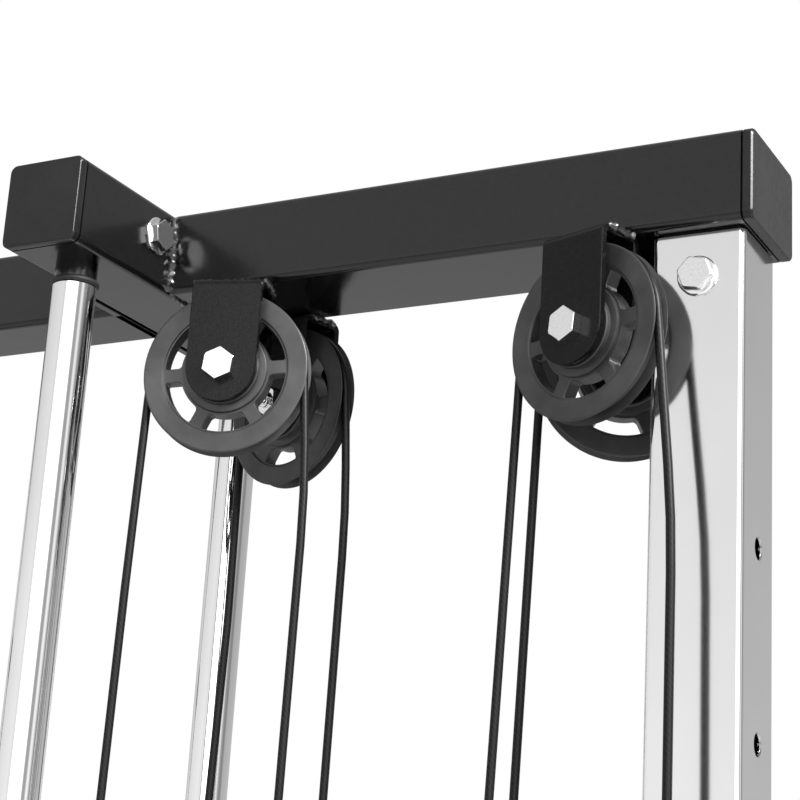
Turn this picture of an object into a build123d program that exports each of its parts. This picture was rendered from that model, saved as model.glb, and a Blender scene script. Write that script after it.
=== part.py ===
from build123d import *
from math import atan2, cos, degrees, radians, sin, tan
import os

# Cable crossover machine: two cable towers joined by a top crossbar.
# Millimetres. X runs from tower to tower, Y from front to rear, Z up.
# The origin is on the floor, midway between the towers.
# Everything is built for the right-hand tower and mirrored for the left one.

# ---------------------------------------------------------------- overall
half_width = 1200.0
overall_height = 2100.0
foot_length = 900.0

# ---------------------------------------------------------------- tubes
tube_size = 50.0
beam_depth = 70.0
tube_wall = 2.5
tube_corner = 4.0
chrome_wall = 2.0
chrome_corner = 3.0
cap_thickness = 6.0
cap_plug_length = 18.0
cap_plug_gap = 0.3
cap_seam = 0.3
cap_edge = 1.0
small_corner = 1.0
weld_overlap = 1.0

# ---------------------------------------------------------------- levels
pad_height = 12.0
pad_width = 46.0
pad_length = 80.0
pad_corner = 8.0
pad_inset = 60.0
foot_top = pad_height + tube_size
beam_bottom = overall_height - tube_size

# ---------------------------------------------------------------- tower plan
header_x = 820.0
header_half_length = 127.5
column_x = 1168.0
rod_spread = 90.0
rod_radius = 12.5
rod_bore = 10.5
rod_pin_radius = 10.0
rod_pin_length = 30.0
rod_stub_radius = 12.0
rod_stub_height = 9.0
ring_height = 3.2
ring_radius = 13.8
part_gap = 0.3
seat_gap = 0.1

# ---------------------------------------------------------------- column
column_top_gap = 4.0
stub_length = 88.0
stub_size = 45.4
stub_wall = 3.0
hole_radius = 6.0
hole_pitch = 97.0
hole_count = 17
first_hole_z = 1886.0
column_bolt_z = 2025.0
column_foot_bolt_z = 87.0

# ---------------------------------------------------------------- crossbar
crossbar_front = -15.0
crossbar_rear = 35.0
flange_thickness = 5.0
flange_bolt_front = -51.0
flange_bolt_rear = 71.0
flange_bolt_z = 2080.0
flange_margin = 20.0

# ---------------------------------------------------------------- pulleys
pulley_radius = 48.0
pitch_radius = 45.0
rim_half_width = 5.5
rim_inner_radius = 36.5
rim_lip_radius = 47.3
rim_lip_half_width = 5.1
groove_half_mouth = 4.8
groove_radius = 42.0
groove_seat_radius = 43.3
groove_seat_half = 3.2
web_half_width = 4.6
hub_half_width = 10.7
hub_boss_radius = 15.0
hub_step_radius = 20.5
hub_step_half_width = 9.4
hub_ring_radius = 24.5
hub_ring_half_width = 6.4
window_inner = 26.0
window_outer = 35.5
spoke_width = 8.0
spoke_phase = 5.0
strap_clearance = 0.15
strap_width = 41.0
strap_thickness = 4.0
strap_inner = 11.0
strap_bend = 5.0
pulley_drop = 53.5
top_pulley_z = beam_bottom - pulley_drop
base_pulley_z = foot_top + pulley_drop

stack_front_x = 890.5
stack_front_y = -33.0
stack_front_yaw = 17.0
stack_rear_x = 892.0
stack_rear_y = 38.0
stack_rear_yaw = -17.0
trolley_front_x = 1112.0
trolley_front_y = -34.0
trolley_front_yaw = -17.7
trolley_rear_x = 1104.5
trolley_rear_y = 36.5
trolley_rear_yaw = 26.0
base_pulley_x = 964.0
base_pulley_offset = 25.0
return_pulley_x = 1110.0
return_pulley_y = 18.0

# ---------------------------------------------------------------- bolts
bolt_radius = 5.0
bolt_clearance = 0.1
axle_head_flat = 8.3
axle_head_height = 6.4
axle_head_turn = 24.0
frame_head_flat = 8.2
frame_head_height = 6.0
head_edge = 0.8
nut_flat = 8.0
nut_height = 8.0
thread_past_nut = 4.0
washer_height = 2.0
column_washer_radius = 10.7
flange_washer_radius = 11.0
shank_in_head = 2.0

# ---------------------------------------------------------------- cable
cable_radius = 2.4
corner_room = 0.3
bow_fillet = 600.0
stack_bow_drop = 125.0
stack_bow_front_x = 844.5
stack_bow_front_y = -47.0
stack_bow_rear_x = 849.5
stack_bow_rear_y = 52.0
trolley_bow_drop = 105.0
trolley_bow_x = 1165.5
trolley_bow_y = -50.0
inner_bow_drop = 70.0
inner_bow_front_x = 940.0
inner_bow_front_y = -20.0
inner_bow_rear_x = 941.0
inner_bow_rear_y = 25.0
base_run_shortening = 1.0
ferrule_length = 14.0

# ---------------------------------------------------------------- weights
buffer_height = 30.0
buffer_radius = 23.0
buffer_edge = 3.0
plate_length = 255.0
plate_width = 100.0
plate_pitch = 25.0
plate_thickness = 24.7
plate_corner = 8.0
plate_edge = 1.5
resting_plates = 10
lifted_plates = 5
rod_hole_radius = 13.6
stem_radius = 14.0
stem_hole_radius = 15.0
pin_hole_radius = 5.3
pin_radius = 4.75
pin_knob_radius = 13.0
pin_knob_length = 34.0
pin_tip_past_stem = 14.0
pin_root = 2.0
knob_face_gap = 1.0
knob_edge = 3.0
stem_foot_gap = 4.0

# ---------------------------------------------------------------- trolley
rest_hole = 5
pin_above_trolley = 45.0
sleeve_size = 62.0
sleeve_wall = 3.0
sleeve_half_height = 70.0
sleeve_corner = 4.0
sleeve_bore_corner = 2.0
liner_wall_gap = 0.3
liner_bore = 51.0
liner_depth = 15.0
liner_flange = 3.0
lug_thickness = 6.0
lug_radius = 20.0
lug_inner = 60.3
pivot_radius = 10.0
pivot_bore = 7.0
pivot_clearance = 0.2
pivot_end = 74.0
swivel_y = -55.0
anchor_half_width = 8.0
anchor_z = -57.0
barrel_radius = 12.0
barrel_length = 23.0
knob_radius = 15.0
knob_length = 28.0

# ---------------------------------------------------------------- swivel bracket
cheek_inner = strap_inner
cheek_thickness = 4.0
cheek_half_height = 60.0
cheek_back = 12.0
cheek_front = 101.0
stop_plate_top = -28.0
web_front = -18.0
cheek_slope_reach = 66.0
cheek_slope_top = 20.0

# ---------------------------------------------------------------- handle
ball_radius = 19.0
neck_radius = 5.0
neck_length = 9.0
ring_centre_radius = 9.0
ring_wire = 2.5
link_wire = 3.5
link_width = 24.0
link_height = 50.0
handle_width = 130.0
handle_height = 100.0
handle_wire = 5.0
handle_corner = 22.0
grip_radius = 15.0
grip_length = 84.0
grip_clearance = 0.3
grip_edge = 2.5
ring_weld = 0.8
corner_trim = 0.2

# ---------------------------------------------------------------- derived
tube_half = tube_size / 2
beam_half = beam_depth / 2
header_inner_x = header_x - tube_half
header_outer_x = header_x + tube_half
column_face_x = column_x + tube_half
column_top = beam_bottom - column_top_gap
stack_bottom = foot_top + buffer_height
lifted_bottom = stack_bottom + resting_plates * plate_pitch
head_bottom = lifted_bottom + lifted_plates * plate_pitch
head_top = head_bottom + plate_pitch
weight_pulley_z = head_top + pulley_drop
trolley_pin_z = first_hole_z - rest_hole * hole_pitch
trolley_z = trolley_pin_z - pin_above_trolley
swivel_pulley_y = swivel_y - pitch_radius
strap_outer = strap_inner + strap_thickness
ball_y = swivel_y - cheek_front - part_gap - ball_radius
exit_z = trolley_z - pitch_radius
base_reach = pitch_radius + corner_room
anchor_y = return_pulley_y - base_reach
eye_y = ball_y - ball_radius - neck_length - ring_centre_radius
link_top_z = exit_z - ring_centre_radius + ring_wire + link_wire + part_gap
link_bottom_z = link_top_z - link_height
handle_ring_z = link_bottom_z - ring_centre_radius + ring_wire + link_wire + part_gap
handle_top_z = handle_ring_z - ring_centre_radius - ring_wire - handle_wire + ring_weld
grip_z = handle_top_z - handle_height

os.makedirs("parts", exist_ok=True)


def save(shape, name):
    shape.label = name
    export_step(shape, "parts/" + name + ".step")


def save_pair(shape, name):
    save(shape, name + "_right")
    save(mirror(shape, about=Plane.YZ), name + "_left")


def save_both(shape, name):
    save(Compound(children=list(shape.solids()) + list(mirror(shape, about=Plane.YZ).solids())), name)


def rims(shape, smallest):
    # Circular edges wider than the given radius.
    return shape.edges().filter_by(GeomType.CIRCLE).filter_by(lambda edge: edge.radius > smallest)


def pulley_plane(x, y, yaw, facing):
    # Local X runs along the pulley's face, local Y is up and local Z is the axle.
    # Low pulleys have planes of their own below, with local Y down, toward their mounting.
    turn = radians(yaw)
    along = (facing * cos(turn), facing * sin(turn), 0)
    axle = (facing * sin(turn), -facing * cos(turn), 0)
    return Plane(origin=(x, y, top_pulley_z), x_dir=along, z_dir=axle)


front_stack_plane = pulley_plane(stack_front_x, stack_front_y, stack_front_yaw, 1)
front_trolley_plane = pulley_plane(trolley_front_x, trolley_front_y, trolley_front_yaw, 1)
rear_stack_plane = pulley_plane(stack_rear_x, stack_rear_y, stack_rear_yaw, -1)
rear_trolley_plane = pulley_plane(trolley_rear_x, trolley_rear_y, trolley_rear_yaw, -1)
front_base_plane = Plane(
    origin=(base_pulley_x, -base_pulley_offset, base_pulley_z), x_dir=(-1, 0, 0), z_dir=(0, -1, 0)
)
rear_base_plane = Plane(
    origin=(base_pulley_x, base_pulley_offset, base_pulley_z), x_dir=(1, 0, 0), z_dir=(0, 1, 0)
)
return_plane = Plane(
    origin=(return_pulley_x, return_pulley_y, base_pulley_z), x_dir=(0, 1, 0), z_dir=(-1, 0, 0)
)
weight_plane = Plane(origin=(header_x, 0, weight_pulley_z), x_dir=(0, 1, 0), z_dir=(-1, 0, 0))
swivel_plane = Plane(
    origin=(column_x, swivel_pulley_y, trolley_z), x_dir=(0, 1, 0), z_dir=(1, 0, 0)
)
top_planes = [front_stack_plane, front_trolley_plane, rear_stack_plane, rear_trolley_plane]
base_planes = [front_base_plane, rear_base_plane, return_plane]


# ---------------------------------------------------------------- tubes and frame
def tube_along_x(start, end, y_centre, z_bottom, depth, height):
    plane = Plane(origin=(start, y_centre, z_bottom + height / 2), x_dir=(0, 1, 0), z_dir=(1, 0, 0))
    with BuildPart() as tube:
        with BuildSketch(plane):
            RectangleRounded(depth, height, tube_corner)
            RectangleRounded(
                depth - 2 * tube_wall, height - 2 * tube_wall, tube_corner - tube_wall, mode=Mode.SUBTRACT
            )
        extrude(amount=end - start)
    return tube.part


def tube_along_y(x_centre, half_length, z_bottom):
    plane = Plane(origin=(x_centre, -half_length, z_bottom + tube_half), x_dir=(1, 0, 0), z_dir=(0, 1, 0))
    inner = tube_size - 2 * tube_wall
    with BuildPart() as tube:
        with BuildSketch(plane):
            RectangleRounded(tube_size, tube_size, tube_corner)
            RectangleRounded(inner, inner, tube_corner - tube_wall, mode=Mode.SUBTRACT)
        extrude(amount=2 * half_length)
    return tube.part


def square_stub(z_low, z_high):
    with BuildPart() as stub:
        with BuildSketch(Plane.XY.offset(z_low)):
            with Locations((column_x, 0)):
                RectangleRounded(stub_size, stub_size, chrome_corner)
                RectangleRounded(
                    stub_size - 2 * stub_wall, stub_size - 2 * stub_wall, small_corner, mode=Mode.SUBTRACT
                )
        extrude(amount=z_high - z_low)
        bolt_z = column_bolt_z if z_high > column_bolt_z else column_foot_bolt_z
        with BuildSketch(Plane.XZ.offset(-stub_size)):
            with Locations((column_x, bolt_z)):
                Circle(bolt_radius + strap_clearance)
        extrude(amount=2 * stub_size, mode=Mode.SUBTRACT)
    return stub.part


def rod_spigots(z_face, direction, visible):
    # Short stubs welded to a tube, each with a spigot that the guide rod slips over.
    base_plane = Plane.XY.offset(z_face - direction * tube_wall / 2)
    with BuildPart() as spigots:
        with BuildSketch(base_plane):
            with Locations((header_x, -rod_spread), (header_x, rod_spread)):
                Circle(rod_stub_radius)
        extrude(amount=direction * (tube_wall / 2 + visible))
        with BuildSketch(base_plane):
            with Locations((header_x, -rod_spread), (header_x, rod_spread)):
                Circle(rod_pin_radius)
        extrude(amount=direction * (tube_wall / 2 + visible + rod_pin_length))
    return spigots.part


def top_beam():
    beam_end = half_width - cap_thickness - cap_seam
    with BuildPart() as beam:
        add(tube_along_x(header_outer_x, beam_end, 0, beam_bottom, beam_depth, tube_size))
        add(square_stub(beam_bottom - stub_length, beam_bottom + tube_wall / 2))
    return beam.part


def top_header():
    with BuildPart() as header:
        add(tube_along_y(header_x, header_half_length - cap_thickness - cap_seam, beam_bottom))
        add(rod_spigots(beam_bottom, -1, rod_stub_height))
        with BuildSketch(Plane.YZ.offset(header_inner_x)):
            with Locations((flange_bolt_front, flange_bolt_z), (flange_bolt_rear, flange_bolt_z)):
                Circle(bolt_radius + strap_clearance)
        extrude(amount=tube_size, mode=Mode.SUBTRACT)
    return header.part


def top_crossbar():
    reach = header_inner_x - part_gap
    bar_end = reach - weld_overlap
    depth = crossbar_rear - crossbar_front
    middle = (crossbar_rear + crossbar_front) / 2
    flange_length = flange_bolt_rear - flange_bolt_front + 2 * flange_margin
    with BuildPart() as bar:
        add(tube_along_x(-bar_end, bar_end, middle, beam_bottom, depth, tube_size))
        for plane_x in (-reach, reach - flange_thickness):
            with BuildSketch(Plane.YZ.offset(plane_x)):
                with Locations(((flange_bolt_rear + flange_bolt_front) / 2, beam_bottom + tube_half)):
                    RectangleRounded(flange_length, tube_size, chrome_corner)
                with Locations((flange_bolt_front, flange_bolt_z), (flange_bolt_rear, flange_bolt_z)):
                    Circle(bolt_radius + strap_clearance, mode=Mode.SUBTRACT)
            extrude(amount=flange_thickness)
    return bar.part


def column():
    inner = tube_size - 2 * chrome_wall
    holes = [(0, first_hole_z - i * hole_pitch) for i in range(hole_count)]
    with BuildPart() as post:
        with BuildSketch(Plane.XY.offset(foot_top + seat_gap)):
            with Locations((column_x, 0)):
                RectangleRounded(tube_size, tube_size, chrome_corner)
                RectangleRounded(inner, inner, chrome_corner - chrome_wall, mode=Mode.SUBTRACT)
        extrude(amount=column_top - foot_top - seat_gap)
        with BuildSketch(Plane.YZ.offset(column_x + inner / 4)):
            with Locations(*holes):
                Circle(hole_radius)
        extrude(amount=inner, mode=Mode.SUBTRACT)
        with BuildSketch(Plane.XZ.offset(-tube_size)):
            with Locations((column_x, column_bolt_z), (column_x, column_foot_bolt_z)):
                Circle(bolt_radius + strap_clearance)
        extrude(amount=2 * tube_size, mode=Mode.SUBTRACT)
    return post.part


def base_feet():
    tube_length = foot_length / 2 - cap_thickness - cap_seam
    with BuildPart() as inner_foot:
        add(tube_along_y(header_x, tube_length, pad_height))
        add(rod_spigots(foot_top, 1, 0))
    with BuildPart() as outer_foot:
        add(tube_along_y(column_x, tube_length, pad_height))
        add(square_stub(foot_top - tube_wall / 2, foot_top + stub_length))
    return Compound(children=[inner_foot.part.solid(), outer_foot.part.solid()])


def base_beam():
    return tube_along_x(
        header_outer_x + seat_gap, column_x - tube_half - seat_gap, 0, pad_height, beam_depth, tube_size
    )


def end_cap(plane, width, height):
    # The plane lies on the cap's outer face and its Z points back into the tube.
    with BuildPart() as cap:
        with BuildSketch(plane):
            RectangleRounded(width, height, tube_corner)
        extrude(amount=cap_thickness)
        with BuildSketch(plane.offset(cap_thickness)):
            RectangleRounded(
                width - 2 * (tube_wall + cap_plug_gap),
                height - 2 * (tube_wall + cap_plug_gap),
                small_corner,
            )
        extrude(amount=cap_plug_length)
        chamfer(cap.faces().sort_by_distance(plane.origin)[0].edges(), cap_edge)
    return cap.part


def end_caps():
    middle = beam_bottom + tube_half
    foot_middle = pad_height + tube_half
    beam_face = Plane(origin=(half_width, 0, middle), x_dir=(0, 1, 0), z_dir=(-1, 0, 0))
    caps = [end_cap(beam_face, beam_depth, tube_size)]
    for facing in (-1, 1):
        header_end = (header_x, facing * header_half_length, middle)
        header_face = Plane(origin=header_end, x_dir=(1, 0, 0), z_dir=(0, -facing, 0))
        caps.append(end_cap(header_face, tube_size, tube_size))
        for foot_x in (header_x, column_x):
            foot_end = (foot_x, facing * foot_length / 2, foot_middle)
            foot_face = Plane(origin=foot_end, x_dir=(1, 0, 0), z_dir=(0, -facing, 0))
            caps.append(end_cap(foot_face, tube_size, tube_size))
    return Compound(children=[cap.solid() for cap in caps])


def floor_pads():
    pad_y = foot_length / 2 - pad_inset
    with BuildPart() as pads:
        with BuildSketch():
            with Locations(*[(x, y) for x in (header_x, column_x) for y in (-pad_y, pad_y)]):
                RectangleRounded(pad_width, pad_length, pad_corner)
        extrude(amount=pad_height - part_gap)
        chamfer(pads.edges().group_by(Axis.Z)[0], 2)
    return pads.part


# ---------------------------------------------------------------- guide rods
def guide_rods():
    rod_top = beam_bottom - rod_stub_height - ring_height - 2 * part_gap
    with BuildPart() as rods:
        with BuildSketch(Plane.XY.offset(foot_top + seat_gap)):
            with Locations((header_x, -rod_spread), (header_x, rod_spread)):
                Circle(rod_radius)
                Circle(rod_bore, mode=Mode.SUBTRACT)
        extrude(amount=rod_top - foot_top - seat_gap)
    return rods.part


def rod_rubbers():
    ring_top = beam_bottom - rod_stub_height - part_gap
    rod_places = [(header_x, -rod_spread), (header_x, rod_spread)]
    with BuildPart() as rubbers:
        with BuildSketch(Plane.XY.offset(ring_top - ring_height)):
            with Locations(*rod_places):
                Circle(ring_radius)
                Circle(rod_pin_radius + seat_gap, mode=Mode.SUBTRACT)
        extrude(amount=ring_height)
        fillet(rims(rubbers, rod_radius), small_corner)
        with BuildSketch(Plane.XY.offset(foot_top + seat_gap)):
            with Locations(*rod_places):
                Circle(buffer_radius)
                Circle(rod_radius + part_gap, mode=Mode.SUBTRACT)
        extrude(amount=buffer_height - seat_gap - part_gap)
        fillet(rims(rubbers, ring_radius), buffer_edge)
    return rubbers.part


# ---------------------------------------------------------------- pulleys
def pulley():
    half_profile = [
        (bolt_radius + bolt_clearance, hub_half_width),
        (hub_boss_radius, hub_half_width),
        (hub_boss_radius, hub_step_half_width),
        (hub_step_radius, hub_step_half_width),
        (hub_step_radius, hub_ring_half_width),
        (hub_ring_radius, hub_ring_half_width),
        (hub_ring_radius, web_half_width),
        (rim_inner_radius, web_half_width),
        (rim_inner_radius, rim_half_width),
        (rim_lip_radius, rim_half_width),
        (pulley_radius, rim_lip_half_width),
        (pulley_radius, groove_half_mouth),
        (groove_seat_radius, groove_seat_half),
    ]
    other_half = [(radius, -height) for radius, height in reversed(half_profile)]
    with BuildPart() as wheel:
        with BuildSketch(Plane.XZ):
            with BuildLine():
                Polyline(*half_profile)
                ThreePointArc(half_profile[-1], (groove_radius, 0), other_half[0])
                Polyline(*other_half, half_profile[0])
            make_face()
        revolve(axis=Axis.Z)
        with BuildSketch(Plane.XY.offset(-rim_half_width)):
            Circle(window_outer)
            Circle(window_inner, mode=Mode.SUBTRACT)
            for spoke in range(3):
                Rectangle(
                    3 * window_outer, spoke_width, rotation=spoke_phase + spoke * 60, mode=Mode.SUBTRACT
                )
        extrude(amount=2 * rim_half_width, mode=Mode.SUBTRACT)
    return wheel.part


def pulley_bracket():
    # Inverted U of flat bar: the web lies against the tube, the ears hang past the axle.
    ear_height = pulley_drop - seat_gap
    with BuildPart() as bracket:
        with BuildSketch(Plane.XY.offset(-strap_outer)):
            Circle(strap_width / 2)
            with Locations((0, ear_height / 2)):
                Rectangle(strap_width, ear_height)
        extrude(amount=2 * strap_outer)
        fillet(bracket.faces().sort_by(Axis.Y)[-1].edges().filter_by(Axis.X), strap_bend)
        with BuildSketch(Plane.YZ.offset(-strap_width)):
            Rectangle(2 * (ear_height - strap_thickness), 2 * strap_inner)
        extrude(amount=2 * strap_width, mode=Mode.SUBTRACT)
        with BuildSketch(Plane.XY.offset(-strap_outer)):
            Circle(bolt_radius + strap_clearance)
        extrude(amount=2 * strap_outer, mode=Mode.SUBTRACT)
    return bracket.part


def axle_bolt():
    with BuildPart() as bolt:
        with BuildSketch(Plane.XY.offset(strap_outer + seat_gap)):
            RegularPolygon(axle_head_flat, 6, major_radius=False, rotation=axle_head_turn)
        extrude(amount=axle_head_height)
        chamfer(bolt.faces().sort_by(Axis.Z)[-1].edges(), head_edge)
        with BuildSketch(Plane.XY.offset(-strap_outer - seat_gap)):
            RegularPolygon(nut_flat, 6, major_radius=False)
        extrude(amount=-nut_height)
        with BuildSketch(Plane.XY.offset(-strap_outer - nut_height - thread_past_nut)):
            Circle(bolt_radius)
        extrude(amount=2 * strap_outer + nut_height + thread_past_nut + shank_in_head)
    return bolt.part


def frame_bolt(length, washer_radius):
    # Flange bolt: the grip runs from Z = 0 under the head down to -length.
    with BuildPart() as bolt:
        with BuildSketch(Plane.XY.offset(seat_gap)):
            Circle(washer_radius)
        extrude(amount=washer_height)
        with BuildSketch(Plane.XY.offset(seat_gap + washer_height)):
            RegularPolygon(frame_head_flat, 6, major_radius=False)
        extrude(amount=frame_head_height)
        chamfer(bolt.faces().sort_by(Axis.Z)[-1].edges(), head_edge)
        with BuildSketch(Plane.XY.offset(-length - seat_gap)):
            RegularPolygon(nut_flat, 6, major_radius=False)
        extrude(amount=-nut_height)
        with BuildSketch(Plane.XY.offset(-length - nut_height - thread_past_nut)):
            Circle(bolt_radius)
        extrude(amount=length + nut_height + thread_past_nut + shank_in_head)
    return bolt.part


def frame_bolts():
    column_bolt = frame_bolt(tube_size, column_washer_radius)
    flange_bolt = frame_bolt(tube_size + part_gap + flange_thickness, flange_washer_radius)
    planes = [
        Plane(origin=(column_x, -tube_half, column_bolt_z), x_dir=(1, 0, 0), z_dir=(0, -1, 0)),
        Plane(origin=(column_x, -tube_half, column_foot_bolt_z), x_dir=(1, 0, 0), z_dir=(0, -1, 0)),
    ]
    solids = [(plane.location * column_bolt).solid() for plane in planes]
    for bolt_y in (flange_bolt_front, flange_bolt_rear):
        plane = Plane(origin=(header_outer_x, bolt_y, flange_bolt_z), x_dir=(0, 1, 0), z_dir=(1, 0, 0))
        solids.append((plane.location * flange_bolt).solid())
    return Compound(children=solids)


# ---------------------------------------------------------------- weights
def weight_plates(z_bottom, count):
    holes = [(header_x, -rod_spread), (header_x, rod_spread)]
    with BuildPart() as plate:
        with BuildSketch(Plane.XY.offset(z_bottom)):
            with Locations((header_x, 0)):
                RectangleRounded(plate_width, plate_length, plate_corner)
            with Locations(*holes):
                Circle(rod_hole_radius, mode=Mode.SUBTRACT)
            with Locations((header_x, 0)):
                Circle(stem_hole_radius, mode=Mode.SUBTRACT)
        extrude(amount=plate_thickness)
        levels = plate.edges().group_by(Axis.Z)
        for level in (levels[0], levels[-1]):
            straight = level.filter_by(GeomType.LINE)
            corners = level.filter_by(GeomType.CIRCLE).filter_by(lambda edge: edge.radius < rod_bore)
            chamfer(straight + corners, plate_edge)
        with BuildSketch(Plane.YZ.offset(header_x - plate_width)):
            with Locations((0, z_bottom + plate_thickness / 2)):
                Circle(pin_hole_radius)
        extrude(amount=plate_width, mode=Mode.SUBTRACT)
    one = plate.part
    return Compound(children=[(Location((0, 0, i * plate_pitch)) * one).solid() for i in range(count)])


def stack_head():
    hole_levels = [
        stack_bottom + i * plate_pitch + plate_thickness / 2 for i in range(resting_plates + lifted_plates)
    ]
    with BuildPart() as head:
        with BuildSketch(Plane.XY.offset(head_bottom)):
            with Locations((header_x, 0)):
                RectangleRounded(plate_width, plate_length, plate_corner)
            with Locations((header_x, -rod_spread), (header_x, rod_spread)):
                Circle(rod_hole_radius, mode=Mode.SUBTRACT)
        extrude(amount=plate_pitch)
        with BuildSketch(Plane.XY.offset(stack_bottom + stem_foot_gap)):
            with Locations((header_x, 0)):
                Circle(stem_radius)
        extrude(amount=head_bottom - stack_bottom)
        with BuildSketch(Plane.YZ.offset(header_x - 2 * stem_radius)):
            with Locations(*[(0, level) for level in hole_levels]):
                Circle(pin_hole_radius)
        extrude(amount=4 * stem_radius, mode=Mode.SUBTRACT)
        add(Location((0, 0, -2 * seat_gap)) * (weight_plane.location * pulley_bracket()))
    return Compound(children=[head.part.solid(), (weight_plane.location * axle_bolt()).solid()])


def selector_pin():
    level = lifted_bottom + plate_thickness / 2
    face_x = header_x - plate_width / 2
    with BuildPart() as pin:
        with BuildSketch(Plane.YZ.offset(face_x - pin_root)):
            with Locations((0, level)):
                Circle(pin_radius)
        extrude(amount=plate_width / 2 + pin_tip_past_stem + pin_root)
        with BuildSketch(Plane.YZ.offset(face_x - knob_face_gap)):
            with Locations((0, level)):
                Circle(pin_knob_radius)
        extrude(amount=-pin_knob_length)
        fillet(rims(pin, 2 * pin_radius), knob_edge)
    return pin.part


# ---------------------------------------------------------------- trolley
def trolley():
    inner = sleeve_size - 2 * sleeve_wall
    lug_root = -sleeve_size / 2 + weld_overlap
    barrel_x = column_x + sleeve_size / 2
    anchor_root = column_x - sleeve_size / 2 + sleeve_wall / 2
    anchor_end = return_pulley_x - anchor_half_width
    with BuildPart() as sleeve:
        with BuildSketch(Plane.XY.offset(trolley_z - sleeve_half_height)):
            with Locations((column_x, 0)):
                RectangleRounded(sleeve_size, sleeve_size, sleeve_corner)
                RectangleRounded(inner, inner, sleeve_bore_corner, mode=Mode.SUBTRACT)
        extrude(amount=2 * sleeve_half_height)
        for low in (lug_inner, -lug_inner - lug_thickness):
            with BuildSketch(Plane.XY.offset(trolley_z + low)):
                with Locations((column_x, swivel_y)):
                    Circle(lug_radius)
                with Locations((column_x, (swivel_y + lug_root) / 2)):
                    Rectangle(2 * lug_radius, lug_root - swivel_y)
                with Locations((column_x, swivel_y)):
                    Circle(pivot_radius + pivot_clearance, mode=Mode.SUBTRACT)
            extrude(amount=lug_thickness)
        with BuildSketch(Plane.YZ.offset(barrel_x - weld_overlap)):
            with Locations((0, trolley_pin_z)):
                Circle(barrel_radius)
        extrude(amount=barrel_length + weld_overlap)
        with BuildSketch(Plane.YZ.offset(column_x)):
            with Locations((0, trolley_pin_z)):
                Circle(pin_hole_radius)
        extrude(amount=sleeve_size + barrel_length, mode=Mode.SUBTRACT)
        with BuildSketch(Plane.XY.offset(trolley_z + anchor_z - lug_thickness / 2)):
            with Locations(((anchor_end + anchor_root) / 2, anchor_y)):
                Rectangle(anchor_root - anchor_end, 2 * anchor_half_width)
            with Locations((return_pulley_x, anchor_y)):
                Circle(cable_radius + part_gap, mode=Mode.SUBTRACT)
        extrude(amount=lug_thickness)
    liners = [trolley_liner(1), trolley_liner(-1)]
    return Compound(children=[sleeve.part.solid()] + [liner.solid() for liner in liners])


def trolley_liner(end):
    insert = sleeve_size - 2 * sleeve_wall - 2 * liner_wall_gap
    face = Plane.XY.offset(trolley_z + end * (sleeve_half_height + part_gap))
    with BuildPart() as liner:
        with BuildSketch(face):
            with Locations((column_x, 0)):
                RectangleRounded(sleeve_size, sleeve_size, sleeve_corner)
        extrude(amount=end * liner_flange)
        with BuildSketch(face):
            with Locations((column_x, 0)):
                RectangleRounded(insert, insert, sleeve_bore_corner)
        extrude(amount=-end * liner_depth)
        with BuildSketch(face.offset(-end * 2 * liner_depth)):
            with Locations((column_x, 0)):
                RectangleRounded(liner_bore, liner_bore, chrome_corner)
        extrude(amount=end * 4 * liner_depth, mode=Mode.SUBTRACT)
    return liner.part


def pop_pin():
    barrel_end = column_x + sleeve_size / 2 + barrel_length
    tip = column_face_x + part_gap
    with BuildPart() as pin:
        with BuildSketch(Plane.YZ.offset(tip)):
            with Locations((0, trolley_pin_z)):
                Circle(bolt_radius)
        extrude(amount=barrel_end - tip + pin_root)
        with BuildSketch(Plane.YZ.offset(barrel_end + part_gap)):
            with Locations((0, trolley_pin_z)):
                Circle(knob_radius)
        extrude(amount=knob_length)
        fillet(rims(pin, barrel_radius), knob_edge)
    return pin.part


def swivel_bracket():
    web_width = 2 * (cheek_inner + weld_overlap)
    back = swivel_y + cheek_back
    front = swivel_y - cheek_front
    outline = [
        (back, -cheek_half_height),
        (back, cheek_half_height),
        (swivel_y + web_front, cheek_half_height),
        (swivel_y - cheek_slope_reach, cheek_slope_top),
        (front, stop_plate_top),
        (front, -cheek_half_height),
    ]
    with BuildPart() as bracket:
        for cheek_x in (-cheek_inner - cheek_thickness, cheek_inner):
            with BuildSketch(Plane.YZ.offset(column_x + cheek_x)):
                with BuildLine():
                    Polyline(*[(y, trolley_z + z) for y, z in outline], close=True)
                make_face()
                with Locations((swivel_pulley_y, trolley_z)):
                    Circle(bolt_radius + strap_clearance, mode=Mode.SUBTRACT)
            extrude(amount=cheek_thickness)
        for web_z in (cheek_half_height - cheek_thickness, -cheek_half_height):
            with BuildSketch(Plane.XY.offset(trolley_z + web_z)):
                with Locations((column_x, swivel_y + (cheek_back + web_front) / 2)):
                    Rectangle(web_width, cheek_back - web_front)
            extrude(amount=cheek_thickness)
        with BuildSketch(Plane.XZ.offset(-front)):
            with Locations((column_x, trolley_z + (stop_plate_top - cheek_half_height) / 2)):
                Rectangle(web_width, stop_plate_top + cheek_half_height)
        extrude(amount=-cheek_thickness)
        for low in (cheek_half_height - weld_overlap, -pivot_end):
            with BuildSketch(Plane.XY.offset(trolley_z + low)):
                with Locations((column_x, swivel_y)):
                    Circle(pivot_radius)
            extrude(amount=pivot_end - cheek_half_height + weld_overlap)
        with BuildSketch(Plane.XY.offset(trolley_z + cheek_half_height / 2)):
            with Locations((column_x, swivel_y)):
                Circle(pivot_bore)
        extrude(amount=pivot_end, mode=Mode.SUBTRACT)
        with BuildSketch(Plane.XZ.offset(-front)):
            with Locations((column_x, exit_z)):
                Circle(bolt_radius)
        extrude(amount=3 * cheek_thickness, mode=Mode.SUBTRACT, both=True)
    return Compound(children=[bracket.part.solid(), (swivel_plane.location * axle_bolt()).solid()])


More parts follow.
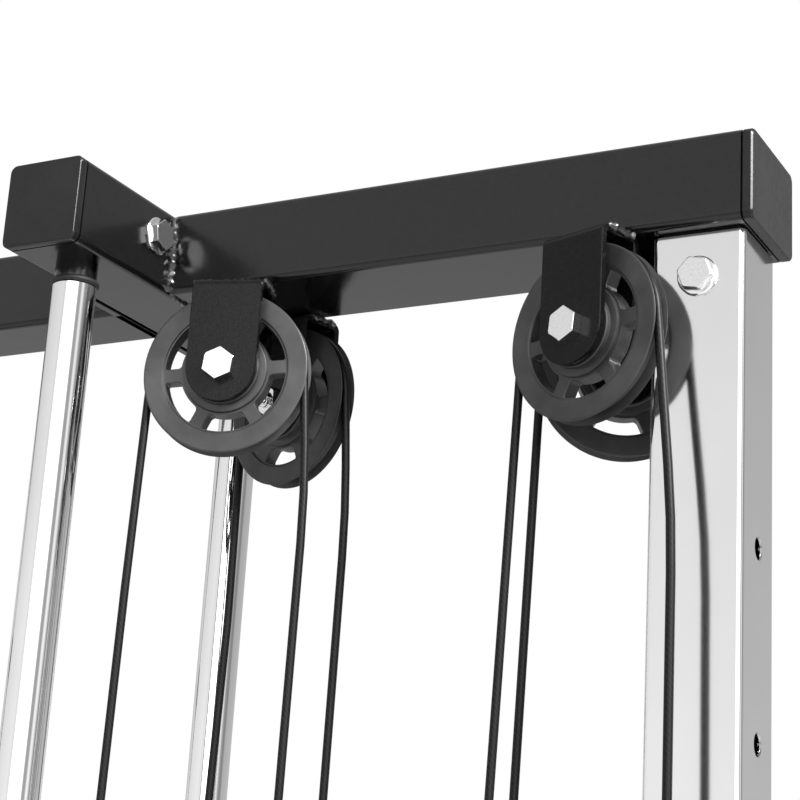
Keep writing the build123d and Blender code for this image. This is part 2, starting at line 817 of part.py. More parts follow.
# ---------------------------------------------------------------- bent wire
def bent_wire(points, radii, wire_radius):
    # Straight runs joined by tangent arcs; radii holds one bend radius per inner point.
    start = Vector(*points[0])
    with BuildPart() as wire:
        with BuildLine() as path:
            for i in range(1, len(points) - 1):
                corner = Vector(*points[i])
                arm_in = (start - corner).normalized()
                arm_out = (Vector(*points[i + 1]) - corner).normalized()
                half_turn = radians(180 - arm_in.get_angle(arm_out)) / 2
                trim = radii[i - 1] * tan(half_turn)
                sagitta = radii[i - 1] / cos(half_turn) - radii[i - 1]
                arc_start = corner + arm_in * trim
                arc_middle = corner + (arm_in + arm_out).normalized() * sagitta
                arc_end = corner + arm_out * trim
                Line(start, arc_start)
                ThreePointArc(arc_start, arc_middle, arc_end)
                start = arc_end
            Line(start, Vector(*points[-1]))
        first = Vector(*points[0])
        with BuildSketch(Plane(origin=first, z_dir=Vector(*points[1]) - first)):
            Circle(wire_radius)
        sweep(path=path.line)
    return wire.part


def cable(points, radii):
    return bent_wire(points, radii, cable_radius)


# ---------------------------------------------------------------- handle
def wire_ring(z_centre):
    plane = Plane(origin=(column_x, eye_y, z_centre), x_dir=(0, 1, 0), z_dir=(1, 0, 0))
    with BuildPart() as ring:
        with Locations(plane.location):
            Torus(ring_centre_radius, ring_wire)
    return ring.part


def wire_loop(width, z_low, z_high, corner, radius):
    points = [
        (column_x, eye_y, z_high),
        (column_x + width / 2, eye_y, z_high),
        (column_x + width / 2, eye_y, z_low),
        (column_x - width / 2, eye_y, z_low),
        (column_x - width / 2, eye_y, z_high),
        (column_x, eye_y, z_high),
    ]
    return bent_wire(points, [corner] * 4, radius)


def cable_end():
    neck_root = ball_y - ball_radius + weld_overlap
    with BuildPart() as stop:
        with Locations((column_x, ball_y, exit_z)):
            Sphere(ball_radius)
        with BuildSketch(Plane(origin=(column_x, neck_root, exit_z), z_dir=(0, -1, 0))):
            Circle(neck_radius)
        extrude(amount=neck_length + weld_overlap)
        add(wire_ring(exit_z))
    link = wire_loop(link_width, link_bottom_z, link_top_z, link_width / 2 - corner_trim, link_wire)
    return Compound(children=[stop.part.solid(), link.solid()])


def handle_frame():
    with BuildPart() as frame:
        add(wire_loop(handle_width, grip_z, handle_top_z, handle_corner, handle_wire))
        add(wire_ring(handle_ring_z))
    return frame.part


def handle_grip():
    with BuildPart() as grip:
        with BuildSketch(Plane.YZ.offset(column_x - grip_length / 2)):
            with Locations((eye_y, grip_z)):
                Circle(grip_radius)
                Circle(handle_wire + grip_clearance, mode=Mode.SUBTRACT)
        extrude(amount=grip_length)
        fillet(rims(grip, 2 * handle_wire), grip_edge)
    return grip.part


# ---------------------------------------------------------------- cables
def corner_point(plane, side, run_end):
    # Where the run to run_end would meet the level line over (or under) a pulley.
    local = plane.to_local_coords(Vector(*run_end))
    level = 1 if local.Y < 0 else -1
    lean = degrees(atan2(side * local.X - pitch_radius, abs(local.Y)))
    reach = pitch_radius * tan(radians(45 - lean / 2)) + corner_room
    corner = plane.from_local_coords(Vector(side * reach, level * pitch_radius, 0))
    return (corner.X, corner.Y, corner.Z)


def on_level(corner, target, z_level):
    share = (z_level - corner[2]) / (target[2] - corner[2])
    return tuple(corner[i] + share * (target[i] - corner[i]) for i in range(3))


stack_bow_front = (stack_bow_front_x, stack_bow_front_y, top_pulley_z - stack_bow_drop)
stack_bow_rear = (stack_bow_rear_x, stack_bow_rear_y, top_pulley_z - stack_bow_drop)
trolley_bow = (trolley_bow_x, trolley_bow_y, top_pulley_z - trolley_bow_drop)
inner_bow_front = (inner_bow_front_x, inner_bow_front_y, top_pulley_z - inner_bow_drop)
inner_bow_rear = (inner_bow_rear_x, inner_bow_rear_y, top_pulley_z - inner_bow_drop)
base_low_z = base_pulley_z - pitch_radius
weight_low_z = weight_pulley_z - pitch_radius
bend_radius = pitch_radius - corner_room

front_stack_corner = corner_point(front_stack_plane, -1, stack_bow_front)
front_trolley_corner = corner_point(front_trolley_plane, 1, trolley_bow)
rear_stack_corner = corner_point(rear_stack_plane, 1, stack_bow_rear)


def routed_cables():
    low_left = (base_pulley_x - base_reach, 0, base_low_z)
    low_right = (base_pulley_x + base_reach, 0, base_low_z)
    front_left = (low_left[0], -base_pulley_offset, base_low_z)
    front_right = (low_right[0] - base_run_shortening, -base_pulley_offset, base_low_z)
    rear_left = (low_left[0], base_pulley_offset, base_low_z)
    rear_right = (low_right[0] - base_run_shortening, base_pulley_offset, base_low_z)
    return_down = (return_pulley_x, return_pulley_y + base_reach, base_low_z)
    return_up = (return_pulley_x, return_pulley_y - base_reach, base_low_z)
    front = cable(
        [
            on_level(front_stack_corner, stack_bow_front, top_pulley_z),
            front_stack_corner,
            corner_point(front_stack_plane, 1, inner_bow_front),
            inner_bow_front,
            front_left,
            front_right,
            corner_point(front_trolley_plane, -1, front_right),
            front_trolley_corner,
            on_level(front_trolley_corner, trolley_bow, top_pulley_z),
        ],
        [bend_radius, bend_radius, bow_fillet] + [bend_radius] * 4,
    )
    rear = cable(
        [
            on_level(rear_stack_corner, stack_bow_rear, top_pulley_z),
            rear_stack_corner,
            corner_point(rear_stack_plane, -1, inner_bow_rear),
            inner_bow_rear,
            rear_left,
            rear_right,
            corner_point(rear_trolley_plane, 1, rear_right),
            corner_point(rear_trolley_plane, -1, return_down),
            return_down,
            return_up,
            (return_pulley_x, return_up[1], base_pulley_z),
        ],
        [bend_radius, bend_radius, bow_fillet] + [bend_radius] * 6,
    )
    return Compound(children=[front.solid(), rear.solid()])


def lift_cable():
    level = top_pulley_z - part_gap
    return cable(
        [
            on_level(front_stack_corner, stack_bow_front, level),
            stack_bow_front,
            (header_x, -base_reach, weight_low_z),
            (header_x, base_reach, weight_low_z),
            stack_bow_rear,
            on_level(rear_stack_corner, stack_bow_rear, level),
        ],
        [bow_fillet, bend_radius, bend_radius, bow_fillet],
    )


def trolley_top_cable():
    return cable(
        [
            on_level(front_trolley_corner, trolley_bow, top_pulley_z - part_gap),
            trolley_bow,
            (column_x, swivel_y, trolley_z + pivot_end + part_gap),
        ],
        [bow_fillet],
    )


def trolley_bottom_cable():
    plate_top = trolley_z + anchor_z + lug_thickness / 2
    with BuildPart() as cord:
        with BuildSketch(Plane.XY.offset(base_pulley_z + part_gap)):
            with Locations((return_pulley_x, anchor_y)):
                Circle(cable_radius)
        extrude(amount=plate_top + ferrule_length - base_pulley_z)
        with BuildSketch(Plane.XY.offset(plate_top + part_gap)):
            with Locations((return_pulley_x, anchor_y)):
                Circle(2 * cable_radius)
        extrude(amount=ferrule_length)
    return cord.part


def swivel_cable():
    return cable(
        [
            (column_x, swivel_y, trolley_z + pivot_end),
            (column_x, swivel_y, exit_z),
            (column_x, swivel_y - cheek_front, exit_z),
        ],
        [bend_radius],
    )


# ---------------------------------------------------------------- exports
wheel = pulley()
strap = pulley_bracket()
axle = axle_bolt()

save(top_crossbar(), "top_crossbar")
save_pair(top_beam(), "top_beam")
save_both(top_header(), "top_headers")
save_both(column(), "columns")
save_both(guide_rods(), "guide_rods")
save_both(base_feet(), "base_feet")
save_both(base_beam(), "base_beams")
save_both(end_caps(), "end_caps")
save_both(floor_pads(), "floor_pads")
save_both(rod_rubbers(), "rod_rubbers")
save_both(frame_bolts(), "frame_bolts")

bracket_solids = [(plane.location * strap).solid() for plane in top_planes + base_planes]
bolt_solids = [(plane.location * axle).solid() for plane in top_planes + base_planes]
save_both(Compound(children=bracket_solids), "pulley_brackets")
save_both(Compound(children=bolt_solids), "pulley_bolts")

pulley_places = {
    "top_front_inner_pulley": front_stack_plane,
    "top_front_outer_pulley": front_trolley_plane,
    "top_rear_inner_pulley": rear_stack_plane,
    "top_rear_outer_pulley": rear_trolley_plane,
    "base_front_pulley": front_base_plane,
    "base_rear_pulley": rear_base_plane,
    "return_pulley": return_plane,
    "weight_pulley": weight_plane,
    "swivel_pulley": swivel_plane,
}
for pulley_name, plane in pulley_places.items():
    save_pair(plane.location * wheel, pulley_name)

save_both(weight_plates(stack_bottom, resting_plates), "resting_plates")
save_pair(weight_plates(lifted_bottom, lifted_plates), "lifted_plates")
save_pair(stack_head(), "stack_head")
save_pair(selector_pin(), "selector_pin")

save_pair(trolley(), "trolley")
save_pair(pop_pin(), "pop_pin")
save_pair(swivel_bracket(), "swivel_bracket")
save_pair(cable_end(), "cable_end")
save_pair(handle_frame(), "handle_frame")
save_pair(handle_grip(), "handle_grip")

save_both(routed_cables(), "routed_cables")
save_pair(lift_cable(), "lift_cable")
save_pair(trolley_top_cable(), "trolley_top_cable")
save_pair(trolley_bottom_cable(), "trolley_bottom_cable")
save_pair(swivel_cable(), "swivel_cable")
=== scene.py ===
from math import atan2, cos, degrees, pi, radians, sin, sqrt, tan

import bpy
from mathutils import Matrix, Quaternion, Vector


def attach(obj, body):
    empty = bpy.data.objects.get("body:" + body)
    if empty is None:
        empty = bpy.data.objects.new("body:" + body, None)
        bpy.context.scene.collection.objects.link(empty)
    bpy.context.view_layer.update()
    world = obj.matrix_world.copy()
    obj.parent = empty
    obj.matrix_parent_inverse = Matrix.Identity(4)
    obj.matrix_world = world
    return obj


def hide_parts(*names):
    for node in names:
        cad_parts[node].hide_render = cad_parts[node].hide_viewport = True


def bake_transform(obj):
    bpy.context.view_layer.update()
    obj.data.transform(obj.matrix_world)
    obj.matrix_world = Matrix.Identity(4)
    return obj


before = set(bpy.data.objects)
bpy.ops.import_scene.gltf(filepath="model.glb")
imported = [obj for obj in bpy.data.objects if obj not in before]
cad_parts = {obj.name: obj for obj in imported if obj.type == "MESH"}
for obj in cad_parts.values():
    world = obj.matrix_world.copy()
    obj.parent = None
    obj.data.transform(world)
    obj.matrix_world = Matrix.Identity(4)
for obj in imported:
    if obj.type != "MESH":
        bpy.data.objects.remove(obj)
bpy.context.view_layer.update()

# ---------------------------------------------------------------- levels and tubes, in metres
TOP = 2.100
BEAM_BOTTOM = 2.050
PAD_TOP = 0.012
FOOT_TOP = 0.062
HALF_WIDTH = 1.200
FOOT_HALF = 0.450
TUBE = 0.050
TUBE_CORNER = 0.0042
BEAM_DEPTH = 0.070
HEADER_X = 0.820
HEADER_HALF = 0.1275
HEADER_FACE = HEADER_X + TUBE / 2
COLUMN_X = 1.168
MID_TOP = (TOP + BEAM_BOTTOM) / 2
MID_FOOT = (PAD_TOP + FOOT_TOP) / 2
# Gaps: between a cap and its tube, and under a bolt's head.
SEAM = 0.0003
SEAT_GAP = 0.0001
TINY = 1e-9
SPIGOT = 0.0454
SPIGOT_CORNER = 0.003
SPIGOT_LENGTH = 0.088
SPIGOT_ROOT = 0.001
CROSSBAR_FRONT = -0.015
CROSSBAR_REAR = 0.035
CROSSBAR_EDGE = 0.0004
FLANGE = 0.005
FLANGE_MARGIN = 0.020
FLANGE_CORNER = 0.003
FLANGE_BOLTS_Y = (-0.051, 0.071)
FLANGE_BOLT_Z = 2.080
SIDES = (("right", 1), ("left", -1))

# ---------------------------------------------------------------- caps and pads
CAP = 0.006
CAP_EDGE = 0.0009
CAP_NECK = 0.004
CAP_NECK_INSET = 0.002
CAP_NECK_CORNER = 0.003
CAP_NECK_ROOT = 0.001
PAD_Y = 0.390
PAD_WIDTH = 0.046
PAD_LENGTH = 0.080
PAD_CORNER = 0.008
PAD_EDGE = 0.001

# ---------------------------------------------------------------- weld beads: radii, then places
BEAM_BEAD = 0.0030
UNDER_BEAD = 0.0016
CROSSBAR_BEAD = 0.0018
BASE_BEAD = 0.0026
LIP_BEAD = 0.0014
TOP_STRAP_BEAD = 0.0022
BASE_STRAP_BEAD = 0.0020
BEAD_REACH = 0.010
BEAD_END_DROP = 0.0012
BEAD_LIP_DROP = 0.0006
BEAD_LIP_INSET = 0.0062
BEAD_LIP_HALF = 0.0185

# ---------------------------------------------------------------- column and rods
CHROME_CORNER = 0.0034
CHROME_WALL = 0.002
COLUMN_TOP_GAP = 0.0015
HOLE_TOP = 1.886
HOLE_PITCH = 0.097
HOLES = 17
HOLE_RADIUS = 0.006
HOLE_STEPS = 32
HOLE_PATCH = 0.02
COLUMN_BOLT_Z = 2.025
COLUMN_FOOT_BOLT_Z = 0.087
ROD_Y = 0.090
ROD_RADIUS = 0.0125
ROD_EDGE = 0.0006
ROD_STUB = 0.009
RING_HEIGHT = 0.0032

# ---------------------------------------------------------------- pulleys, straps and bolts
PULLEY_Z = 1.9965
BASE_PULLEY_Z = 0.1155
BASE_X = 0.964
BASE_Y = 0.025
RETURN_X = 1.110
RETURN_Y = 0.018
PITCH = 0.045
SPOKES = 6
SPOKE_PHASE = 5
STRAP = 0.004
STRAP_INNER = 0.011
STRAP_HALF = 0.0205
STRAP_BEND = 0.005
STRAP_EDGE = 0.0005
EAR_STEPS = 12
BEND_STEPS = 6
PULLEY_DROP = 0.0534
BOLT_RADIUS = 0.0049
THREAD_PITCH = 0.0015
NUT_ACROSS = 0.0160
NUT_HEIGHT = 0.0078
NUT_SEAT = 0.008
AXLE_HEAD_ACROSS = 0.0166
AXLE_HEAD_HEIGHT = 0.0064
AXLE_HEAD_TURN = -6
FRAME_HEAD_ACROSS = 0.0163
FRAME_HEAD_HEIGHT = 0.0046
FRAME_WASHER = 0.0015
COLUMN_WASHER = 0.0107
FLANGE_WASHER = 0.0110

# ---------------------------------------------------------------- weights, trolley and cables
STACK_BOTTOM = 0.092
PLATE_PITCH = 0.025
PLATE = 0.0247
PLATE_WIDTH = 0.100
PLATE_LENGTH = 0.255
PLATE_CORNER = 0.008
PLATE_EDGE = 0.0022
RESTING = 10
LIFTED = 5
HEAD_TOP = STACK_BOTTOM + PLATE_PITCH * (RESTING + LIFTED + 1)
WEIGHT_PULLEY_Z = HEAD_TOP + 0.0535
TROLLEY_Z = 1.356
SWIVEL_Y = -0.055
CABLE_RADIUS = 0.0024
# The radius of a run's outward bow, a cable's clearance from its groove, and the overlap where two runs meet.
BOW_BEND = 0.600
RUN_PLAY = 0.0003
RUN_OVERLAP = 0.0002

# ---------------------------------------------------------------- camera, key light and floor
CAMERA_PLACE = (1.4855, -0.9219, 1.6612)
CAMERA_YAW = radians(28.475)
CAMERA_RISE = radians(17.019)
CAMERA_ROLL = radians(3.483)
CAMERA_LENS = 88.15
KEY_PLACE = (5.934, -1.794, 5.63)
KEY_TARGET = (1.0, 0, 1.95)
FLOOR = 30


# ---------------------------------------------------------------- node materials
def material(name):
    mat = bpy.data.materials.new(name)
    mat.use_nodes = True
    nodes, links = mat.node_tree.nodes, mat.node_tree.links
    shader = nodes["Principled BSDF"]
    place = nodes.new("ShaderNodeTexCoord").outputs["Object"]
    return mat, nodes, links, shader, place


def noise(nodes, links, place, scale, detail=3.0, rough=0.55, stretch=None):
    if stretch:
        mapping = nodes.new("ShaderNodeMapping")
        mapping.inputs["Scale"].default_value = stretch
        links.new(place, mapping.inputs["Vector"])
        place = mapping.outputs["Vector"]
    tex = nodes.new("ShaderNodeTexNoise")
    tex.inputs["Scale"].default_value = scale
    tex.inputs["Detail"].default_value = detail
    tex.inputs["Roughness"].default_value = rough
    links.new(place, tex.inputs["Vector"])
    return tex.outputs["Fac"]


def remap(nodes, links, value, low, high, to_low, to_high):
    node = nodes.new("ShaderNodeMapRange")
    node.inputs["From Min"].default_value = low
    node.inputs["From Max"].default_value = high
    node.inputs["To Min"].default_value = to_low
    node.inputs["To Max"].default_value = to_high
    links.new(value, node.inputs["Value"])
    return node.outputs["Result"]


def roughness_range(nodes, links, value, low, high, shader):
    links.new(remap(nodes, links, value, 0.3, 0.7, low, high), shader.inputs["Roughness"])


def tint(nodes, links, value, dark, light):
    ramp = nodes.new("ShaderNodeValToRGB")
    ramp.color_ramp.elements[0].position = 0.3
    ramp.color_ramp.elements[1].position = 0.7
    ramp.color_ramp.elements[0].color = (dark, dark, dark, 1)
    ramp.color_ramp.elements[1].color = (light, light, light, 1)
    links.new(value, ramp.inputs["Fac"])
    return ramp.outputs["Color"]


def bump(nodes, links, value, strength, distance, shader, before=None):
    node = nodes.new("ShaderNodeBump")
    node.inputs["Strength"].default_value = strength
    node.inputs["Distance"].default_value = distance
    links.new(value, node.inputs["Height"])
    if before:
        links.new(before, node.inputs["Normal"])
    links.new(node.outputs["Normal"], shader.inputs["Normal"])
    return node.outputs["Normal"]


def powder_coat(name, dark, light, gloss):
    mat, nodes, links, shader, place = material(name)
    grain = noise(nodes, links, place, 900, 3, 0.7)
    broad = noise(nodes, links, place, 14, 4)
    links.new(tint(nodes, links, grain, dark, light), shader.inputs["Base Color"])
    roughness_range(nodes, links, broad, 0.13, 0.19, shader)
    peel = noise(nodes, links, place, 420, 2)
    first = bump(nodes, links, peel, 0.10, 0.0003, shader)
    bump(nodes, links, grain, 0.30, 0.0002, shader, first)
    shader.inputs["Specular IOR Level"].default_value = gloss
    shader.inputs["Coat Weight"].default_value = gloss * 0.4
    shader.inputs["Coat Roughness"].default_value = 0.08
    return mat


def weld_coat():
    mat, nodes, links, shader, place = material("painted_weld")
    lumps = noise(nodes, links, place, 900, 4)
    links.new(tint(nodes, links, lumps, 0.004, 0.014), shader.inputs["Base Color"])
    roughness_range(nodes, links, lumps, 0.12, 0.24, shader)
    bump(nodes, links, lumps, 0.5, 0.0008, shader)
    shader.inputs["Coat Weight"].default_value = 1.0
    shader.inputs["Coat Roughness"].default_value = 0.06
    return mat


def chrome(name, roughness, tone):
    mat, nodes, links, shader, place = material(name)
    drawn = noise(nodes, links, place, 60, 3, stretch=(1.0, 1.0, 0.02))
    cloud = noise(nodes, links, place, 9, 4)
    links.new(tint(nodes, links, cloud, tone - 0.03, tone + 0.02), shader.inputs["Base Color"])
    roughness_range(nodes, links, drawn, roughness * 0.8, roughness * 1.25, shader)
    bump(nodes, links, drawn, 0.02, 0.0002, shader)
    shader.inputs["Metallic"].default_value = 1.0
    return mat


def zinc():
    mat, nodes, links, shader, place = material("zinc_bolt")
    turned = noise(nodes, links, place, 700, 3)
    links.new(tint(nodes, links, turned, 0.84, 0.93), shader.inputs["Base Color"])
    roughness_range(nodes, links, turned, 0.10, 0.16, shader)
    bump(nodes, links, turned, 0.03, 0.0001, shader)
    shader.inputs["Metallic"].default_value = 1.0
    return mat


def plastic(name, dark, light, roughness, coat=0.0, gloss=0.5):
    mat, nodes, links, shader, place = material(name)
    mottled = noise(nodes, links, place, 220, 4)
    broad = noise(nodes, links, place, 35, 3)
    links.new(tint(nodes, links, broad, dark, light), shader.inputs["Base Color"])
    roughness_range(nodes, links, mottled, roughness - 0.05, roughness + 0.06, shader)
    bump(nodes, links, mottled, 0.08, 0.0002, shader)
    shader.inputs["Specular IOR Level"].default_value = gloss
    shader.inputs["Coat Weight"].default_value = coat
    shader.inputs["Coat Roughness"].default_value = 0.3
    return mat


def sheath():
    mat, nodes, links, shader, place = material("coated_cable")
    wave = nodes.new("ShaderNodeTexWave")
    wave.wave_type = "BANDS"
    wave.bands_direction = "DIAGONAL"
    wave.inputs["Scale"].default_value = 180
    wave.inputs["Distortion"].default_value = 0.3
    links.new(place, wave.inputs["Vector"])
    links.new(tint(nodes, links, wave.outputs["Fac"], 0.001, 0.005), shader.inputs["Base Color"])
    bump(nodes, links, wave.outputs["Fac"], 0.10, 0.0001, shader)
    shader.inputs["Specular IOR Level"].default_value = 0.25
    shader.inputs["Roughness"].default_value = 0.42
    return mat


POWDER = powder_coat("black_powder_coat", 0.001, 0.006, 0.46)
STRAP_COAT = powder_coat("strap_powder_coat", 0.001, 0.008, 0.14)
WELD = weld_coat()
CHROME = chrome("chrome_column", 0.11, 0.88)
ROD_CHROME = chrome("chrome_rod", 0.06, 0.9)
ZINC = zinc()
NYLON = plastic("pulley_nylon", 0.015, 0.048, 0.36)
CAP_PLASTIC = plastic("cap_plastic", 0.003, 0.008, 0.30, gloss=0.42)
RUBBER = plastic("black_rubber", 0.008, 0.014, 0.62)
ENAMEL = plastic("plate_enamel", 0.008, 0.014, 0.38, 0.3)
SHEATH = sheath()


# ---------------------------------------------------------------- mesh building
class Mesh:
    def __init__(self):
        self.points = []
        self.faces = []

    def add(self, points, faces):
        first = len(self.points)
        self.points += [Vector(p) for p in points]
        self.faces += [[first + i for i in face] for face in faces]
        return self

    def join(self, other, matrix=None):
        matrix = matrix or Matrix.Identity(4)
        flip = matrix.determinant() < 0
        faces = [list(reversed(face)) if flip else face for face in other.faces]
        return self.add([matrix @ p for p in other.points], faces)

    def both(self):
        copy = Mesh().join(self)
        return self.join(copy, Matrix.Scale(-1, 4, (1, 0, 0)))

    def mirrored(self, sign):
        return Mesh().join(self, Matrix.Scale(-1, 4, (1, 0, 0)) if sign < 0 else None)

    def show(self, name, mat, body, nodes=(), slot=None, bevel=0.0, smooth=38.0, even=True):
        data = bpy.data.meshes.new(name)
        data.from_pydata([tuple(p) for p in self.points], [], self.faces)
        data.validate()
        data.polygons.foreach_set("use_smooth", [True] * len(data.polygons))
        data.set_sharp_from_angle(angle=radians(smooth))
        data.materials.append(mat)
        obj = bpy.data.objects.new(name, data)
        bpy.context.scene.collection.objects.link(obj)
        if bevel:
            edge = obj.modifiers.new("edge", "BEVEL")
            edge.width = bevel
            edge.segments = 2
            edge.limit_method = "ANGLE"
            edge.angle_limit = radians(smooth)
            edge.harden_normals = True
        if even:
            obj.modifiers.new("even", "WEIGHTED_NORMAL").keep_sharp = True
        if body:
            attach(obj, body)
        if nodes:
            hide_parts(*nodes)
        return obj


def rounded_rect(width, height, corner, steps=6):
    outline = []
    for cx, cy, start in (
        (width / 2 - corner, height / 2 - corner, 0),
        (corner - width / 2, height / 2 - corner, 90),
        (corner - width / 2, corner - height / 2, 180),
        (width / 2 - corner, corner - height / 2, 270),
    ):
        for i in range(steps + 1):
            a = radians(start + 90 * i / steps)
            outline.append((cx + corner * cos(a), cy + corner * sin(a)))
    return outline


def loft(rings):
    # A skin over rings with the same number of points each, closed at both ends.
    count = len(rings[0])
    last = (len(rings) - 1) * count
    faces = []
    for a in range(0, last, count):
        b = a + count
        for i in range(count):
            j = (i + 1) % count
            faces.append([a + i, a + j, b + j, b + i])
    faces.append(list(reversed(range(count))))
    faces.append([last + i for i in range(count)])
    return Mesh().add([p for ring in rings for p in ring], faces)


def basis(origin, x_axis, z_axis):
    x, z = Vector(x_axis).normalized(), Vector(z_axis).normalized()
    y = z.cross(x)
    return Matrix.Translation(Vector(origin)) @ Matrix((x, y, z)).transposed().to_4x4()


def prism(outline, depth, place, chamfer=0.0):
    levels = [(0.0, 1.0), (depth, 1.0)]
    if chamfer:
        shrink = 1 - chamfer / max(sqrt(x * x + y * y) for x, y in outline)
        levels = [(0.0, shrink), (chamfer, 1.0), (depth - chamfer, 1.0), (depth, shrink)]
    return loft([[place @ Vector((x * scale, y * scale, z)) for x, y in outline] for z, scale in levels])


def mm(pairs):
    return [(r / 1000, z / 1000) for r, z in pairs]


def lathe(profile, place, steps=72, closed=True):
    # Points of the profile are (radius, height).
    rings = []
    for i in range(steps):
        a = 2 * pi * i / steps
        rings.append([place @ Vector((r * cos(a), r * sin(a), z)) for r, z in profile])
    count = len(profile)
    faces = []
    for i in range(steps):
        a, b = i * count, ((i + 1) % steps) * count
        for k in range(count if closed else count - 1):
            m = (k + 1) % count
            faces.append([a + k, b + k, b + m, a + m])
    return Mesh().add([p for ring in rings for p in ring], faces)


def tube_path(points, radius, steps=14):
    pts = [Vector(p) for p in points]
    tangents = []
    for i in range(len(pts)):
        a = pts[max(i - 1, 0)]
        b = pts[min(i + 1, len(pts) - 1)]
        tangents.append((b - a).normalized())
    side = tangents[0].orthogonal().normalized()
    rings = []
    for i, p in enumerate(pts):
        if i:
            side = tangents[i - 1].rotation_difference(tangents[i]) @ side
        other = tangents[i].cross(side).normalized()
        turns = [2 * pi * k / steps for k in range(steps)]
        rings.append([p + radius * (cos(t) * side + sin(t) * other) for t in turns])
    return loft(rings)


def bent_path(points, radii, spacing=0.03, arc_step=4.0):
    # A route through the corners, each rounded to its own radius.
    out = [Vector(points[0])]
    start = Vector(points[0])
    for i in range(1, len(points) - 1):
        corner, after = Vector(points[i]), Vector(points[i + 1])
        arm_in, arm_out = (start - corner).normalized(), (after - corner).normalized()
        half = (pi - arm_in.angle(arm_out)) / 2
        trim = radii[i - 1] * tan(half)
        centre = corner + (arm_in + arm_out).normalized() * (radii[i - 1] / cos(half))
        first, last = corner + arm_in * trim, corner + arm_out * trim
        out += straight(start, first, spacing)
        axis = (first - centre).cross(last - centre).normalized()
        steps = max(2, int(degrees(2 * half) / arc_step))
        for k in range(1, steps + 1):
            out.append(centre + Quaternion(axis, 2 * half * k / steps) @ (first - centre))
        start = last
    return out + straight(start, Vector(points[-1]), spacing)


def straight(a, b, spacing):
    steps = max(1, int((b - a).length / spacing))
    return [a.lerp(b, k / steps) for k in range(1, steps + 1)]


def wobble(i, j=0):
    # A repeatable value from -1 to 1 for each pair of whole numbers.
    value = sin(i * 12.9898 + j * 78.233) * 43758.5453
    return 2 * (value - int(value // 1)) - 1


def weld_bead(a, b, radius, up, step=0.0016):
    # A half-sunk, rippled bead from a to b: its size, place and section vary a little at every step.
    a, b, up = Vector(a), Vector(b), Vector(up).normalized()
    along = (b - a).normalized()
    across = along.cross(up)
    count = max(6, int((b - a).length / step))
    rings = []
    for i in range(count + 1):
        p = a.lerp(b, i / count)
        ripple = 1 + 0.22 * sin(i * 2.1) + 0.16 * wobble(i)
        size = radius * ripple * (0.35 if i in (0, count) else 1)
        shift = across * radius * 0.18 * wobble(i, 5)
        ring = []
        for k in range(12):
            t = 2 * pi * k / 12
            bulge = size * (1 + 0.10 * wobble(i, k + 9))
            ring.append(p + shift + bulge * (cos(t) * across + sin(t) * up))
        rings.append(ring)
    return loft(rings)


# ---------------------------------------------------------------- tubes and caps
def box_tube(a, b, width, height, corner, place_x):
    a, b = Vector(a), Vector(b)
    place = basis(a, place_x, b - a)
    return prism(rounded_rect(width, height, corner), (b - a).length, place)


def tube_along_x(x_from, x_to, y, z, depth):
    return box_tube((x_from, y, z), (x_to, y, z), depth, TUBE, TUBE_CORNER, (0, 1, 0))


def tube_along_y(x, half_length, z):
    end = half_length - CAP - SEAM
    return box_tube((x, end, z), (x, -end, z), TUBE, TUBE, TUBE_CORNER, (1, 0, 0))


def spigot(z_low, z_high):
    return box_tube((COLUMN_X, 0, z_low), (COLUMN_X, 0, z_high), SPIGOT, SPIGOT, SPIGOT_CORNER, (1, 0, 0))


def upright(x, y, z):
    return basis((x, y, z), (1, 0, 0), (0, 0, 1))


def tube_cap(place, width, height):
    mesh = prism(rounded_rect(width, height, TUBE_CORNER), CAP, place, CAP_EDGE)
    neck = rounded_rect(width - 2 * CAP_NECK_INSET, height - 2 * CAP_NECK_INSET, CAP_NECK_CORNER)
    mesh.join(prism(neck, CAP_NECK, place @ Matrix.Translation((0, 0, CAP - CAP_NECK_ROOT))))
    return mesh


def build_top():
    for side, s in SIDES:
        beam = tube_along_x(HEADER_FACE, HALF_WIDTH - CAP - SEAM, 0, MID_TOP, BEAM_DEPTH)
        beam.join(spigot(BEAM_BOTTOM - SPIGOT_LENGTH, BEAM_BOTTOM + SPIGOT_ROOT))
        beam.mirrored(s).show("beam_" + side, POWDER, "frame", ["top_beam_" + side], "black_frame")

    header = tube_along_y(HEADER_X, HEADER_HALF, MID_TOP)
    stub = mm([(0, 0), (11.8, 0), (12, 0.4), (12, 10), (0, 10)])
    for rod_y in (-ROD_Y, ROD_Y):
        header.join(lathe(stub, upright(HEADER_X, rod_y, BEAM_BOTTOM - ROD_STUB), 64))
    header.both().show("headers", POWDER, "frame", ["top_headers"], "black_frame")

    reach = HEADER_X - TUBE / 2 - SEAM
    middle = (CROSSBAR_FRONT + CROSSBAR_REAR) / 2
    bar = tube_along_x(-reach, reach, middle, MID_TOP, CROSSBAR_REAR - CROSSBAR_FRONT)
    bolt_front, bolt_rear = FLANGE_BOLTS_Y
    outline = rounded_rect(bolt_rear - bolt_front + 2 * FLANGE_MARGIN, TUBE, FLANGE_CORNER)
    place = basis((reach - FLANGE, (bolt_front + bolt_rear) / 2, MID_TOP), (0, 1, 0), (1, 0, 0))
    bar.join(prism(outline, FLANGE, place).both())
    bar.show("crossbar", POWDER, "frame", ["top_crossbar"], "black_frame", bevel=CROSSBAR_EDGE)


